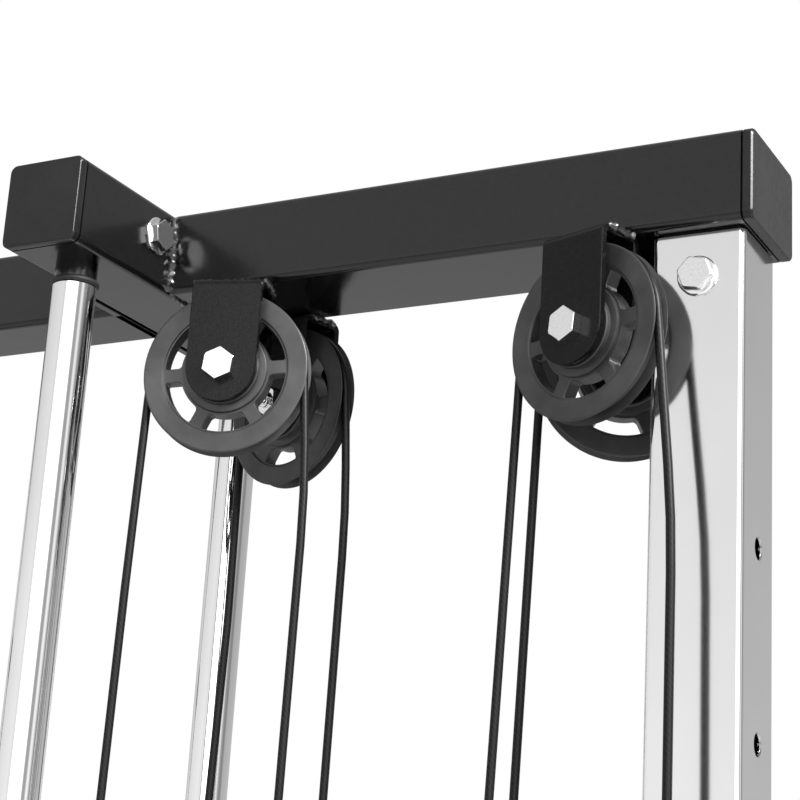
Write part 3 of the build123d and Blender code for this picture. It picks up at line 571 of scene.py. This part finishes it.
def build_base():
    feet = Mesh()
    for foot_x in (HEADER_X, COLUMN_X):
        feet.join(tube_along_y(foot_x, FOOT_HALF, MID_FOOT))
    feet.join(spigot(FOOT_TOP - SPIGOT_ROOT, FOOT_TOP + SPIGOT_LENGTH))
    feet.both().show("feet", POWDER, "frame", ["base_feet"], "black_frame")
    base = tube_along_x(HEADER_FACE, COLUMN_X - TUBE / 2, 0, MID_FOOT, BEAM_DEPTH)
    base.both().show("base_beams_shown", POWDER, "frame", ["base_beams"], "black_frame")


def build_caps():
    caps = tube_cap(basis((HALF_WIDTH, 0, MID_TOP), (0, 1, 0), (-1, 0, 0)), BEAM_DEPTH, TUBE)
    for facing in (-1, 1):
        ends = [(HEADER_X, facing * HEADER_HALF, MID_TOP)]
        ends += [(foot_x, facing * FOOT_HALF, MID_FOOT) for foot_x in (HEADER_X, COLUMN_X)]
        for end in ends:
            caps.join(tube_cap(basis(end, (1, 0, 0), (0, -facing, 0)), TUBE, TUBE))
    caps.both().show("tube_caps", CAP_PLASTIC, "frame", ["end_caps"], "cap_plastic")


def build_pads():
    pads = Mesh()
    outline = rounded_rect(PAD_WIDTH, PAD_LENGTH, PAD_CORNER)
    for foot_x in (HEADER_X, COLUMN_X):
        for pad_y in (-PAD_Y, PAD_Y):
            pads.join(prism(outline, PAD_TOP, upright(foot_x, pad_y, 0), PAD_EDGE))
    pads.both().show("pads", RUBBER, "frame", ["floor_pads"], "black_rubber")


# ---------------------------------------------------------------- welds
def bead_along_z(x, y, z_from, z_to, radius, up):
    return weld_bead((x, y, z_from), (x, y, z_to), radius, up)


def strap_bead(place, a, b, radius, up):
    return weld_bead(place @ Vector(a), place @ Vector(b), radius, place.to_3x3() @ Vector(up))


def strap_end_beads(place, x, back, radius):
    beads = Mesh()
    y = PULLEY_DROP - BEAD_END_DROP
    for end in (-1, 1):
        beads.join(strap_bead(place, (end * x, y, -BEAD_REACH), (end * x, y, back), radius, (end, -0.2, 0)))
    return beads


def build_welds():
    beads = Mesh()
    beam_y = BEAM_DEPTH / 2
    for facing in (-1, 1):
        beads.join(bead_along_z(HEADER_FACE + 0.0006, facing * beam_y, BEAM_BOTTOM + 0.001, TOP - 0.002,
                                BEAM_BEAD, (1, facing, 0)))
    under = BEAM_BOTTOM + 0.0002
    beads.join(weld_bead((HEADER_FACE, -0.033, under), (HEADER_FACE, 0.033, under), UNDER_BEAD, (0.7, 0, -1)))
    corner_x, corner_y = HEADER_X - TUBE / 2 - 0.003, CROSSBAR_FRONT - 0.003
    beads.join(bead_along_z(corner_x, corner_y, BEAM_BOTTOM + 0.004, TOP - 0.004, CROSSBAR_BEAD, (-1, -1, 0)))
    for facing in (-1, 1):
        beads.join(bead_along_z(HEADER_FACE + 0.0005, facing * beam_y, FOOT_TOP - 0.004, PAD_TOP + 0.004,
                                BASE_BEAD, (1, facing, 0)))
    y = PULLEY_DROP - BEAD_LIP_DROP
    for place in TOP_PLACES:
        for facing in (1, -1):
            lip = facing * (STRAP_INNER + STRAP - BEAD_LIP_INSET)
            ends = (-BEAD_LIP_HALF, y, lip), (BEAD_LIP_HALF, y, lip)
            beads.join(strap_bead(place, *ends, LIP_BEAD, (0, 0.2, facing)))
        beads.join(strap_end_beads(place, STRAP_HALF + 0.0001, BEAD_REACH + 0.001, TOP_STRAP_BEAD))
    for place in BASE_PLACES:
        beads.join(strap_end_beads(place, STRAP_HALF - 0.0001, BEAD_REACH, BASE_STRAP_BEAD))
    beads.both().show("weld_beads", WELD, "frame", slot="black_frame")


# ---------------------------------------------------------------- column and rods
def circle_angles():
    return [2 * pi * (k + 0.5) / HOLE_STEPS for k in range(HOLE_STEPS)]


def wound(faces, outward):
    return faces if outward else [list(reversed(face)) for face in faces]


def hole_patch(x, half, mid, outward):
    # The piece of wall round one hole: a ring of faces from the hole's edge to the patch's edge.
    ring, edge = [], []
    for a in circle_angles():
        ring.append((x, HOLE_RADIUS * cos(a), mid + HOLE_RADIUS * sin(a)))
        stretch = 1 / max(abs(cos(a)) / half, abs(sin(a)) / HOLE_PATCH)
        edge.append((x, stretch * cos(a), mid + stretch * sin(a)))

    def on_side(point):
        return abs(abs(point[1]) - half) < TINY

    def on_end(point):
        return abs(abs(point[2] - mid) - HOLE_PATCH) < TINY

    points = ring + edge
    faces = []
    for k in range(HOLE_STEPS):
        m = (k + 1) % HOLE_STEPS
        here, after = edge[k], edge[m]
        face = [k, HOLE_STEPS + k, HOLE_STEPS + m, m]
        if on_side(here) and on_end(after) or on_side(after) and on_end(here):
            corner_y = half if here[1] > 0 else -half
            corner_z = mid + HOLE_PATCH if here[2] > mid else mid - HOLE_PATCH
            face = [k, HOLE_STEPS + k, len(points), HOLE_STEPS + m, m]
            points.append((x, corner_y, corner_z))
        faces.append(face)
    return Mesh().add(points, wound(faces, outward))


def plain_wall(x, half, low, high, outward):
    quad = [(x, -half, low), (x, half, low), (x, half, high), (x, -half, high)]
    return Mesh().add(quad, wound([[0, 1, 2, 3]], outward))


def holed_wall(x, half, z_low, z_high, centres, outward):
    mesh = Mesh()
    below = z_low
    for mid in centres:
        mesh.join(plain_wall(x, half, below, mid - HOLE_PATCH, outward))
        mesh.join(hole_patch(x, half, mid, outward))
        below = mid + HOLE_PATCH
    return mesh.join(plain_wall(x, half, below, z_high, outward))


def bore(z):
    points = []
    for a in circle_angles():
        for x in (TUBE / 2 - CHROME_WALL, TUBE / 2):
            points.append((COLUMN_X + x, HOLE_RADIUS * cos(a), z + HOLE_RADIUS * sin(a)))
    count = 2 * HOLE_STEPS
    faces = [[i, i + 1, (i + 3) % count, (i + 2) % count] for i in range(0, count, 2)]
    return Mesh().add(points, faces)


def column_shell():
    z_low, z_high = FOOT_TOP + 0.0001, BEAM_BOTTOM - COLUMN_TOP_GAP
    centres = sorted(HOLE_TOP - HOLE_PITCH * i for i in range(HOLES))
    outer = rounded_rect(TUBE, TUBE, CHROME_CORNER)
    inner_size, inner_corner = TUBE - 2 * CHROME_WALL, CHROME_CORNER - CHROME_WALL
    inner = rounded_rect(inner_size, inner_size, inner_corner)
    count = len(outer)
    mesh = Mesh()
    skins = ((outer, TUBE, CHROME_CORNER, True), (inner, inner_size, inner_corner, False))
    for outline, size, corner, outward in skins:
        # The flat wall at +X, between the outline's last point and its first, is left for the holed wall.
        points = [(COLUMN_X + px, py, z) for z in (z_low, z_high) for px, py in outline]
        faces = [[i, i + 1, count + i + 1, count + i] for i in range(count - 1)]
        mesh.add(points, wound(faces, outward))
        mesh.join(holed_wall(COLUMN_X + size / 2, size / 2 - corner, z_low, z_high, centres, outward))
    for z in centres:
        mesh.join(bore(z))
    for z, up in ((z_low, False), (z_high, True)):
        points = [(COLUMN_X + px, py, z) for px, py in outer + inner]
        faces = [[i, (i + 1) % count, count + (i + 1) % count, count + i] for i in range(count)]
        mesh.add(points, wound(faces, up))
    return mesh


def build_column():
    columns = column_shell().both().show("column_tubes", CHROME, "frame", ["columns"], "chrome", even=False)
    columns.modifiers.new("join", "WELD").merge_threshold = 0.00002
    columns.modifiers.new("even", "WEIGHTED_NORMAL").keep_sharp = True


def build_rods():
    rods, rubbers = Mesh(), Mesh()
    rod_top = BEAM_BOTTOM - ROD_STUB - RING_HEIGHT - 2 * SEAM
    length = rod_top - FOOT_TOP
    edge = length - ROD_EDGE
    rod = [(0.0, 0), (ROD_RADIUS, 0), (ROD_RADIUS, edge), (ROD_RADIUS - ROD_EDGE, length), (0.0, length)]
    ring = mm([(0, 0), (12.8, 0), (13.8, 1), (13.8, 2.2), (12.8, 3.2), (0, 3.2)])
    buffer = mm([(12.8, 0), (20, 0), (23, 3), (23, 11), (20.5, 13.5), (20.5, 16), (23, 18.5), (23, 26.6),
                 (20, 29.6), (12.8, 29.6)])
    for rod_y in (-ROD_Y, ROD_Y):
        foot = upright(HEADER_X, rod_y, FOOT_TOP)
        rods.join(lathe(rod, foot, 128))
        rubbers.join(lathe(ring, upright(HEADER_X, rod_y, rod_top + SEAM), 96))
        rubbers.join(lathe(buffer, foot, 72))
    rods.both().show("rods", ROD_CHROME, "frame", ["guide_rods"], "chrome")
    rubbers.both().show("rod_rubber", RUBBER, "frame", ["rod_rubbers"], "black_rubber")


# ---------------------------------------------------------------- pulleys
def pulley_place(x, y, yaw, side):
    t = radians(yaw)
    return basis((x, y, PULLEY_Z), (side * cos(t), side * sin(t), 0), (side * sin(t), -side * cos(t), 0))


FRONT_STACK = pulley_place(0.8905, -0.033, 17, 1)
FRONT_TROLLEY = pulley_place(1.112, -0.034, -17.7, 1)
REAR_STACK = pulley_place(0.892, 0.038, -17, -1)
REAR_TROLLEY = pulley_place(1.1045, 0.0365, 26, -1)
FRONT_BASE = basis((BASE_X, -BASE_Y, BASE_PULLEY_Z), (-1, 0, 0), (0, -1, 0))
REAR_BASE = basis((BASE_X, BASE_Y, BASE_PULLEY_Z), (1, 0, 0), (0, 1, 0))
RETURN = basis((RETURN_X, RETURN_Y, BASE_PULLEY_Z), (0, 1, 0), (-1, 0, 0))
WEIGHT = basis((HEADER_X, 0, WEIGHT_PULLEY_Z), (0, 1, 0), (-1, 0, 0))
SWIVEL = basis((COLUMN_X, SWIVEL_Y - PITCH, TROLLEY_Z), (0, 1, 0), (1, 0, 0))
TOP_PLACES = [FRONT_STACK, FRONT_TROLLEY, REAR_STACK, REAR_TROLLEY]
BASE_PLACES = [FRONT_BASE, REAR_BASE, RETURN]
PULLEYS = {
    "top_front_inner_pulley": FRONT_STACK,
    "top_front_outer_pulley": FRONT_TROLLEY,
    "top_rear_inner_pulley": REAR_STACK,
    "top_rear_outer_pulley": REAR_TROLLEY,
    "base_front_pulley": FRONT_BASE,
    "base_rear_pulley": REAR_BASE,
    "return_pulley": RETURN,
    "weight_pulley": WEIGHT,
    "swivel_pulley": SWIVEL,
}


def mirror_profile(half, middle=()):
    # A closed profile from its upper half, wound so that the faces point outward.
    profile = half + list(middle) + [(r, -z) for r, z in reversed(half)]
    return mm(reversed(profile))


def spoke_mesh():
    thick, edge = 0.0045, 0.0005
    flare = mm([(24.8, 6.0), (25.8, 5.2), (26.4, 4.6), (27.6, 4.1), (34.0, 4.1), (35.0, 4.6), (35.6, 5.2),
                (36.6, 6.2)])
    rings = []
    for r, half in flare:
        rings.append([
            (r, edge - half, thick), (r, -half, thick - edge),
            (r, -half, edge - thick), (r, edge - half, -thick),
            (r, half - edge, -thick), (r, half, edge - thick),
            (r, half, thick - edge), (r, half - edge, thick),
        ])
    return loft(rings)


def pulley_mesh():
    here = Matrix.Identity(4)
    hub_half = [
        (5.2, 10.7), (14.4, 10.7), (14.9, 10.4), (15.0, 9.6), (20.0, 9.4), (20.5, 8.9),
        (20.7, 6.7), (24.0, 6.4), (24.5, 6.1), (24.8, 4.6), (26.0, 4.6),
    ]
    rim_half = [
        (35.5, 4.6), (36.3, 4.7), (36.9, 5.3), (37.8, 5.5), (46.8, 5.5), (47.5, 5.4),
        (47.9, 5.1), (48.0, 4.8), (43.3, 3.2), (42.5, 2.0),
    ]
    mesh = lathe(mirror_profile(hub_half), here, 120)
    mesh.join(lathe(mirror_profile(rim_half, [(42.0, 0.0)]), here, 160))
    spoke = spoke_mesh()
    for k in range(SPOKES):
        mesh.join(spoke, Matrix.Rotation(radians(SPOKE_PHASE + 360 / SPOKES * k), 4, "Z"))
    return mesh


def build_pulleys():
    wheel = pulley_mesh()
    for node, place in PULLEYS.items():
        for side, s in SIDES:
            copy = Mesh().join(wheel, place).mirrored(s)
            name = node + "_" + side
            copy.show("wheel_" + name, NYLON, side + "_" + node, [name], "pulley_nylon", smooth=32)


# ---------------------------------------------------------------- straps and bolts
def strap_mesh():
    # A flat bar bent over twice: rows run from one ear's round end, over the web, to the other's.
    outer, bend, edge = STRAP_INNER + STRAP, STRAP_BEND, STRAP_EDGE
    rows = []
    for k in range(EAR_STEPS + 1):
        a = radians(90 * k / EAR_STEPS)
        half = STRAP_HALF * sin(a) if k else edge
        rows.append((half, (-STRAP_HALF * cos(a), outer), (0, 1)))
    for k in range(BEND_STEPS + 1):
        a = radians(90 * k / BEND_STEPS)
        point = (PULLEY_DROP - bend + bend * sin(a), outer - bend + bend * cos(a))
        rows.append((STRAP_HALF, point, (sin(a), cos(a))))
    rows += [(half, (y, -z), (out_y, -out_z)) for half, (y, z), (out_y, out_z) in reversed(rows)]
    rings = []
    for half, (y, z), (out_y, out_z) in rows:
        section = (
            (-half, edge), (edge - half, 0), (half - edge, 0), (half, edge),
            (half, STRAP - edge), (half - edge, STRAP), (edge - half, STRAP), (-half, STRAP - edge),
        )
        rings.append([(x, y - out_y * depth, z - out_z * depth) for x, depth in section])
    return loft(rings)


def hex_head(across, height, washer=0.0, base=0.0):
    # A head standing on Z = 0, on a washer if it has one, with the usual round chamfer on its top corners.
    steps = 96
    mesh = Mesh()
    if washer:
        rise = base * 1.1
        profile = [(0.0, 0.0), (washer, 0.0), (washer, base * 0.55), (washer - 0.0006, base * 0.85),
                   (across * 0.47, rise), (0.0, rise)]
        mesh.join(lathe(profile, Matrix.Identity(4), steps))
    flat = across / 2
    cut = flat * 1.07
    low, high, top, centre = [], [], [], []
    for i in range(steps):
        a = 2 * pi * i / steps
        sector = (a + pi / 6) % (pi / 3) - pi / 6
        r = flat / cos(sector)
        inner = min(r - 0.0003, cut)
        low.append((r * cos(a), r * sin(a), base))
        high.append((r * cos(a), r * sin(a), base + height - (r - inner) * 0.6))
        top.append((inner * cos(a), inner * sin(a), base + height))
        centre.append((0.0001 * cos(a), 0.0001 * sin(a), base + height))
    return mesh.join(loft([low, high, top, centre]))


def threaded_end(start, length):
    radius = BOLT_RADIUS
    profile = [(0.0, 0.0)]
    for k in range(int(length / THREAD_PITCH)):
        z = k * THREAD_PITCH
        profile += [(radius, z + 0.0003), (radius, z + 0.0006), (radius - 0.0007, z + 0.0011)]
    profile += [(radius - 0.0012, length), (0.0, length)]
    return lathe(profile, Matrix.Translation((0, 0, start)), 40, closed=False)


def nut_and_thread(depth, thread):
    # The far end of a bolt whose grip runs from Z = 0 down to -depth.
    flip = Matrix.Rotation(pi, 4, "X")
    seat = Matrix.Translation((0, 0, -depth - SEAT_GAP))
    mesh = Mesh().join(hex_head(NUT_ACROSS, NUT_HEIGHT), seat @ flip)
    return mesh.join(threaded_end(depth + NUT_SEAT, thread), flip)


def axle_bolt_mesh():
    outer = STRAP_INNER + STRAP
    turn = Matrix.Rotation(radians(AXLE_HEAD_TURN), 4, "Z")
    seat = Matrix.Translation((0, 0, outer + SEAT_GAP))
    mesh = Mesh().join(hex_head(AXLE_HEAD_ACROSS, AXLE_HEAD_HEIGHT), seat @ turn)
    mesh.join(nut_and_thread(outer, 0.004))
    shank = [(0.0, -outer), (BOLT_RADIUS, -outer), (BOLT_RADIUS, outer), (0.0, outer)]
    return mesh.join(lathe(shank, Matrix.Identity(4), 40))


def frame_bolt_mesh(length, washer):
    head = hex_head(FRAME_HEAD_ACROSS, FRAME_HEAD_HEIGHT, washer, FRAME_WASHER)
    mesh = Mesh().join(head, Matrix.Translation((0, 0, SEAT_GAP)))
    return mesh.join(nut_and_thread(length, 0.003))


def build_pulley_hardware():
    straps, bolts = Mesh(), Mesh()
    strap, axle = strap_mesh(), axle_bolt_mesh()
    for place in TOP_PLACES + BASE_PLACES:
        straps.join(strap, place)
        bolts.join(axle, place)
    straps.both().show("straps", STRAP_COAT, "frame", ["pulley_brackets"], "black_frame", smooth=30)
    bolts.both().show("axle_bolts", ZINC, "frame", ["pulley_bolts"], "zinc_bolts", smooth=24)


def build_frame_bolts():
    bolts = Mesh()
    column_bolt = frame_bolt_mesh(TUBE, COLUMN_WASHER)
    flange_bolt = frame_bolt_mesh(TUBE + FLANGE + SEAM, FLANGE_WASHER)
    for z in (COLUMN_BOLT_Z, COLUMN_FOOT_BOLT_Z):
        bolts.join(column_bolt, basis((COLUMN_X, -TUBE / 2, z), (1, 0, 0.35), (0, -1, 0)))
    for y in FLANGE_BOLTS_Y:
        bolts.join(flange_bolt, basis((HEADER_FACE, y, FLANGE_BOLT_Z), (0, 1, 0.2), (1, 0, 0)))
    bolts.both().show("tube_bolts", ZINC, "frame", ["frame_bolts"], "zinc_bolts", smooth=24)


# ---------------------------------------------------------------- weights
def plates(first, count):
    outline = rounded_rect(PLATE_WIDTH, PLATE_LENGTH, PLATE_CORNER, 5)
    mesh = Mesh()
    for i in range(first, first + count):
        mesh.join(prism(outline, PLATE, upright(HEADER_X, 0, STACK_BOTTOM + i * PLATE_PITCH), PLATE_EDGE))
    return mesh


def build_weights():
    plates(0, RESTING).both().show("low_plates", ENAMEL, "frame", ["resting_plates"], "plate_iron", smooth=30)
    for side, s in SIDES:
        lifted = plates(RESTING, LIFTED).mirrored(s)
        node = "lifted_plates_" + side
        lifted.show("high_plates_" + side, ENAMEL, side + "_weights", [node], "plate_iron", smooth=30)


# ---------------------------------------------------------------- cables
def corner_point(place, side, run_end):
    # Where the run to run_end and the level run over the pulley's top or under its foot would cross.
    local = place.inverted() @ Vector(run_end)
    level = 1 if local.y < 0 else -1
    lean = atan2(side * local.x - PITCH, abs(local.y))
    reach = PITCH * tan(pi / 4 - lean / 2) + RUN_PLAY
    return place @ Vector((side * reach, level * PITCH, 0))


def on_level(corner, target, z):
    corner, target = Vector(corner), Vector(target)
    return corner.lerp(target, (z - corner.z) / (target.z - corner.z))


def show_run(mesh, name, body=None, nodes=()):
    return mesh.show(name, SHEATH, body, nodes, "cable_sheath", smooth=60, even=False)


STACK_BOW_FRONT = Vector((0.8445, -0.047, PULLEY_Z - 0.125))
STACK_BOW_REAR = Vector((0.8495, 0.052, PULLEY_Z - 0.125))
TROLLEY_BOW = Vector((1.1655, -0.050, PULLEY_Z - 0.105))
INNER_BOW_FRONT = Vector((0.940, -0.020, PULLEY_Z - 0.070))
INNER_BOW_REAR = Vector((0.941, 0.025, PULLEY_Z - 0.070))
REACH = PITCH + RUN_PLAY
BEND = PITCH - RUN_PLAY
LOW = BASE_PULLEY_Z - PITCH
PIVOT_END = TROLLEY_Z + 0.074
FERRULE_Z = TROLLEY_Z - 0.0537
STACK_TURN_FRONT = corner_point(FRONT_STACK, -1, STACK_BOW_FRONT)
STACK_TURN_REAR = corner_point(REAR_STACK, 1, STACK_BOW_REAR)
TROLLEY_TURN = corner_point(FRONT_TROLLEY, 1, TROLLEY_BOW)
RETURN_DOWN = Vector((RETURN_X, RETURN_Y + REACH, LOW))
RETURN_UP = Vector((RETURN_X, RETURN_Y - REACH, LOW))


def fixed_runs():
    foot_front = [Vector((BASE_X - REACH, -BASE_Y, LOW)), Vector((BASE_X - 0.001 + REACH, -BASE_Y, LOW))]
    foot_rear = [Vector((BASE_X - REACH, BASE_Y, LOW)), Vector((BASE_X - 0.001 + REACH, BASE_Y, LOW))]
    front = [
        on_level(STACK_TURN_FRONT, STACK_BOW_FRONT, PULLEY_Z), STACK_TURN_FRONT,
        corner_point(FRONT_STACK, 1, INNER_BOW_FRONT), INNER_BOW_FRONT, *foot_front,
        corner_point(FRONT_TROLLEY, -1, foot_front[1]), TROLLEY_TURN,
        on_level(TROLLEY_TURN, TROLLEY_BOW, PULLEY_Z),
    ]
    rear = [
        on_level(STACK_TURN_REAR, STACK_BOW_REAR, PULLEY_Z), STACK_TURN_REAR,
        corner_point(REAR_STACK, -1, INNER_BOW_REAR), INNER_BOW_REAR, *foot_rear,
        corner_point(REAR_TROLLEY, 1, foot_rear[1]), corner_point(REAR_TROLLEY, -1, RETURN_DOWN),
        RETURN_DOWN, RETURN_UP, Vector((RETURN_UP.x, RETURN_UP.y, BASE_PULLEY_Z)),
    ]
    runs = tube_path(bent_path(front, [BEND] * 2 + [BOW_BEND] + [BEND] * 4), CABLE_RADIUS)
    return runs.join(tube_path(bent_path(rear, [BEND] * 2 + [BOW_BEND] + [BEND] * 6), CABLE_RADIUS))


def lift_path():
    under = WEIGHT_PULLEY_Z - PITCH
    corners = [
        on_level(STACK_TURN_FRONT, STACK_BOW_FRONT, PULLEY_Z + RUN_OVERLAP), STACK_BOW_FRONT,
        (HEADER_X, -REACH, under), (HEADER_X, REACH, under),
        STACK_BOW_REAR, on_level(STACK_TURN_REAR, STACK_BOW_REAR, PULLEY_Z + RUN_OVERLAP),
    ]
    return bent_path(corners, [BOW_BEND, BEND, BEND, BOW_BEND])


def upper_trolley_path():
    corners = [on_level(TROLLEY_TURN, TROLLEY_BOW, PULLEY_Z + RUN_OVERLAP), TROLLEY_BOW,
               (COLUMN_X, SWIVEL_Y, PIVOT_END + 0.0003)]
    return bent_path(corners, [BOW_BEND])


def lower_trolley_run():
    start = Vector((RETURN_UP.x, RETURN_UP.y, BASE_PULLEY_Z - RUN_OVERLAP))
    finish = Vector((RETURN_UP.x, RETURN_UP.y, TROLLEY_Z - 0.042))
    run = tube_path([start] + straight(start, finish, 0.03), CABLE_RADIUS)
    ferrule = mm([(0, 0), (4.4, 0), (4.8, 0.5), (4.8, 13.5), (4.4, 14), (0, 14)])
    return run.join(lathe(ferrule, upright(RETURN_UP.x, RETURN_UP.y, FERRULE_Z), 40))


def swivel_path():
    under = TROLLEY_Z - PITCH
    pivot, turn = (COLUMN_X, SWIVEL_Y, PIVOT_END), (COLUMN_X, SWIVEL_Y, under)
    return bent_path([pivot, turn, (COLUMN_X, SWIVEL_Y - 0.060, under)], [BEND])


def build_cables():
    show_run(fixed_runs().both(), "fixed_cable_runs", "frame", ["routed_cables"])
    lift, upper = tube_path(lift_path(), CABLE_RADIUS), tube_path(upper_trolley_path(), CABLE_RADIUS)
    lower, guided = lower_trolley_run(), tube_path(swivel_path(), CABLE_RADIUS)
    for side, s in SIDES:
        run = show_run(lift.mirrored(s), "lift_run_" + side, nodes=["lift_cable_" + side])
        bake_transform(run)
        run = show_run(upper.mirrored(s), "top_run_" + side, nodes=["trolley_top_cable_" + side])
        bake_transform(run)
        run = show_run(lower.mirrored(s), "low_run_" + side, nodes=["trolley_bottom_cable_" + side])
        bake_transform(run)
        show_run(guided.mirrored(s), "guided_run_" + side, side + "_swivel", ["swivel_cable_" + side])
        start = Vector((s * COLUMN_X, SWIVEL_Y - 0.0595, TROLLEY_Z - PITCH))
        finish = Vector((s * COLUMN_X, SWIVEL_Y - 0.104, TROLLEY_Z - PITCH))
        pull = tube_path([start] + straight(start, finish, 0.002), CABLE_RADIUS)
        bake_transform(show_run(pull, "pull_run_" + side))


# ---------------------------------------------------------------- pieces shown straight from the CAD
CAD_PIECES = {
    "stack_head": ENAMEL,
    "selector_pin": RUBBER,
    "trolley": POWDER,
    "pop_pin": RUBBER,
    "swivel_bracket": POWDER,
    "cable_end": RUBBER,
    "handle_frame": ROD_CHROME,
    "handle_grip": RUBBER,
}


def dress(node, mat):
    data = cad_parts[node].data
    data.materials.clear()
    data.materials.append(mat)
    data.polygons.foreach_set("use_smooth", [True] * len(data.polygons))
    data.set_sharp_from_angle(angle=radians(30))


def dress_cad_pieces():
    for side, _ in SIDES:
        for node, mat in CAD_PIECES.items():
            dress(node + "_" + side, mat)


build_top()
build_base()
build_caps()
build_pads()
build_welds()
build_column()
build_rods()
build_pulleys()
build_pulley_hardware()
build_frame_bolts()
build_weights()
build_cables()
dress_cad_pieces()


# ---------------------------------------------------------------- floor, light and camera
def pale_floor(tone, roughness):
    mat, nodes, links, shader, place = material("pale_floor")
    cloud = noise(nodes, links, place, 3, 2)
    links.new(tint(nodes, links, cloud, tone - 0.01, tone + 0.01), shader.inputs["Base Color"])
    shader.inputs["Roughness"].default_value = roughness
    return mat


def build_floor():
    corners = [(-FLOOR, -FLOOR, 0), (FLOOR, -FLOOR, 0), (FLOOR, FLOOR, 0), (-FLOOR, FLOOR, 0)]
    floor = Mesh().add(corners, [[0, 1, 2, 3]]).show("floor", pale_floor(0.54, 0.6), None)
    floor.location.z = -0.0005


# The studio's brightness by bearing in degrees, where 0 is behind the camera and 90 is to its right.
STUDIO_WALLS = (
    (-180, 0.55), (-140, 0.62), (-108, 0.80), (-70, 0.88), (-48, 0.92), (-36, 0.80), (-26, 2.8), (20, 2.8),
    (32, 0.42), (44, 0.38), (51, 1.0), (57, 1.0), (66, 0.40), (76, 0.26), (84, 0.26), (92, 0.46), (120, 0.50),
    (150, 0.52), (180, 0.55),
)
CEILING = 0.6
WHITE = (1, 1, 1, 1)


def mixed(nodes, links, fac, first, second, blend="MIX"):
    # Every input is a socket to link or a fixed value.
    node = nodes.new("ShaderNodeMixRGB")
    node.blend_type = blend
    for name, value in (("Fac", fac), ("Color1", first), ("Color2", second)):
        if isinstance(value, bpy.types.NodeSocket):
            links.new(value, node.inputs[name])
        else:
            node.inputs[name].default_value = value
    return node.outputs["Color"]


def studio():
    # Only the camera's own rays see a white backdrop; all others see the walls and the ceiling.
    world = bpy.data.worlds.new("studio")
    bpy.context.scene.world = world
    world.use_nodes = True
    nodes, links = world.node_tree.nodes, world.node_tree.links
    place = nodes.new("ShaderNodeTexCoord").outputs["Generated"]
    turned = nodes.new("ShaderNodeMapping")
    turned.inputs["Rotation"].default_value = (0, 0, pi / 2 - CAMERA_YAW)
    parts = nodes.new("ShaderNodeSeparateXYZ")
    bearing = nodes.new("ShaderNodeMath")
    bearing.operation = "ARCTAN2"
    links.new(place, turned.inputs["Vector"])
    links.new(turned.outputs["Vector"], parts.inputs["Vector"])
    links.new(parts.outputs["Y"], bearing.inputs[0])
    links.new(parts.outputs["X"], bearing.inputs[1])
    walls = nodes.new("ShaderNodeValToRGB")
    links.new(remap(nodes, links, bearing.outputs["Value"], -pi, pi, 0, 1), walls.inputs["Fac"])
    stops = walls.color_ramp.elements
    while len(stops) < len(STUDIO_WALLS):
        stops.new(0.5)
    for stop, (angle, level) in zip(stops, STUDIO_WALLS):
        stop.position = (angle + 180) / 360
        stop.color = (level, level, level, 1)
    fade = remap(nodes, links, parts.outputs["Z"], 0.05, 0.5, 1.05, 0.80)
    faded = mixed(nodes, links, 1.0, walls.outputs["Color"], fade, "MULTIPLY")
    height = remap(nodes, links, parts.outputs["Z"], 0.62, 0.85, 0, 1)
    room = mixed(nodes, links, height, faded, (CEILING, CEILING, CEILING, 1))
    camera_ray = nodes.new("ShaderNodeLightPath").outputs["Is Camera Ray"]
    links.new(mixed(nodes, links, camera_ray, room, WHITE), nodes["Background"].inputs["Color"])


def key_light():
    data = bpy.data.lights.new("key_light", "AREA")
    data.shape = "RECTANGLE"
    data.size = data.size_y = 2.0
    data.energy = 900
    lamp = bpy.data.objects.new("key_light", data)
    bpy.context.scene.collection.objects.link(lamp)
    lamp.location = KEY_PLACE
    lamp.rotation_euler = (Vector(KEY_TARGET) - Vector(KEY_PLACE)).to_track_quat("-Z", "Y").to_euler()


def place_camera():
    data = bpy.data.cameras.new("camera")
    camera = bpy.data.objects.new("camera", data)
    bpy.context.scene.collection.objects.link(camera)
    bpy.context.scene.camera = camera
    data.sensor_width = 36.0
    data.lens = CAMERA_LENS
    data.clip_start = 0.05
    data.clip_end = 60
    yaw = Matrix.Rotation(CAMERA_YAW, 4, "Z")
    rise = Matrix.Rotation(pi / 2 + CAMERA_RISE, 4, "X")
    roll = Matrix.Rotation(CAMERA_ROLL, 4, "Z")
    camera.matrix_world = Matrix.Translation(CAMERA_PLACE) @ (yaw @ rise @ roll)


build_floor()
studio()
bpy.context.scene.view_settings.view_transform = "Standard"
key_light()
place_camera()
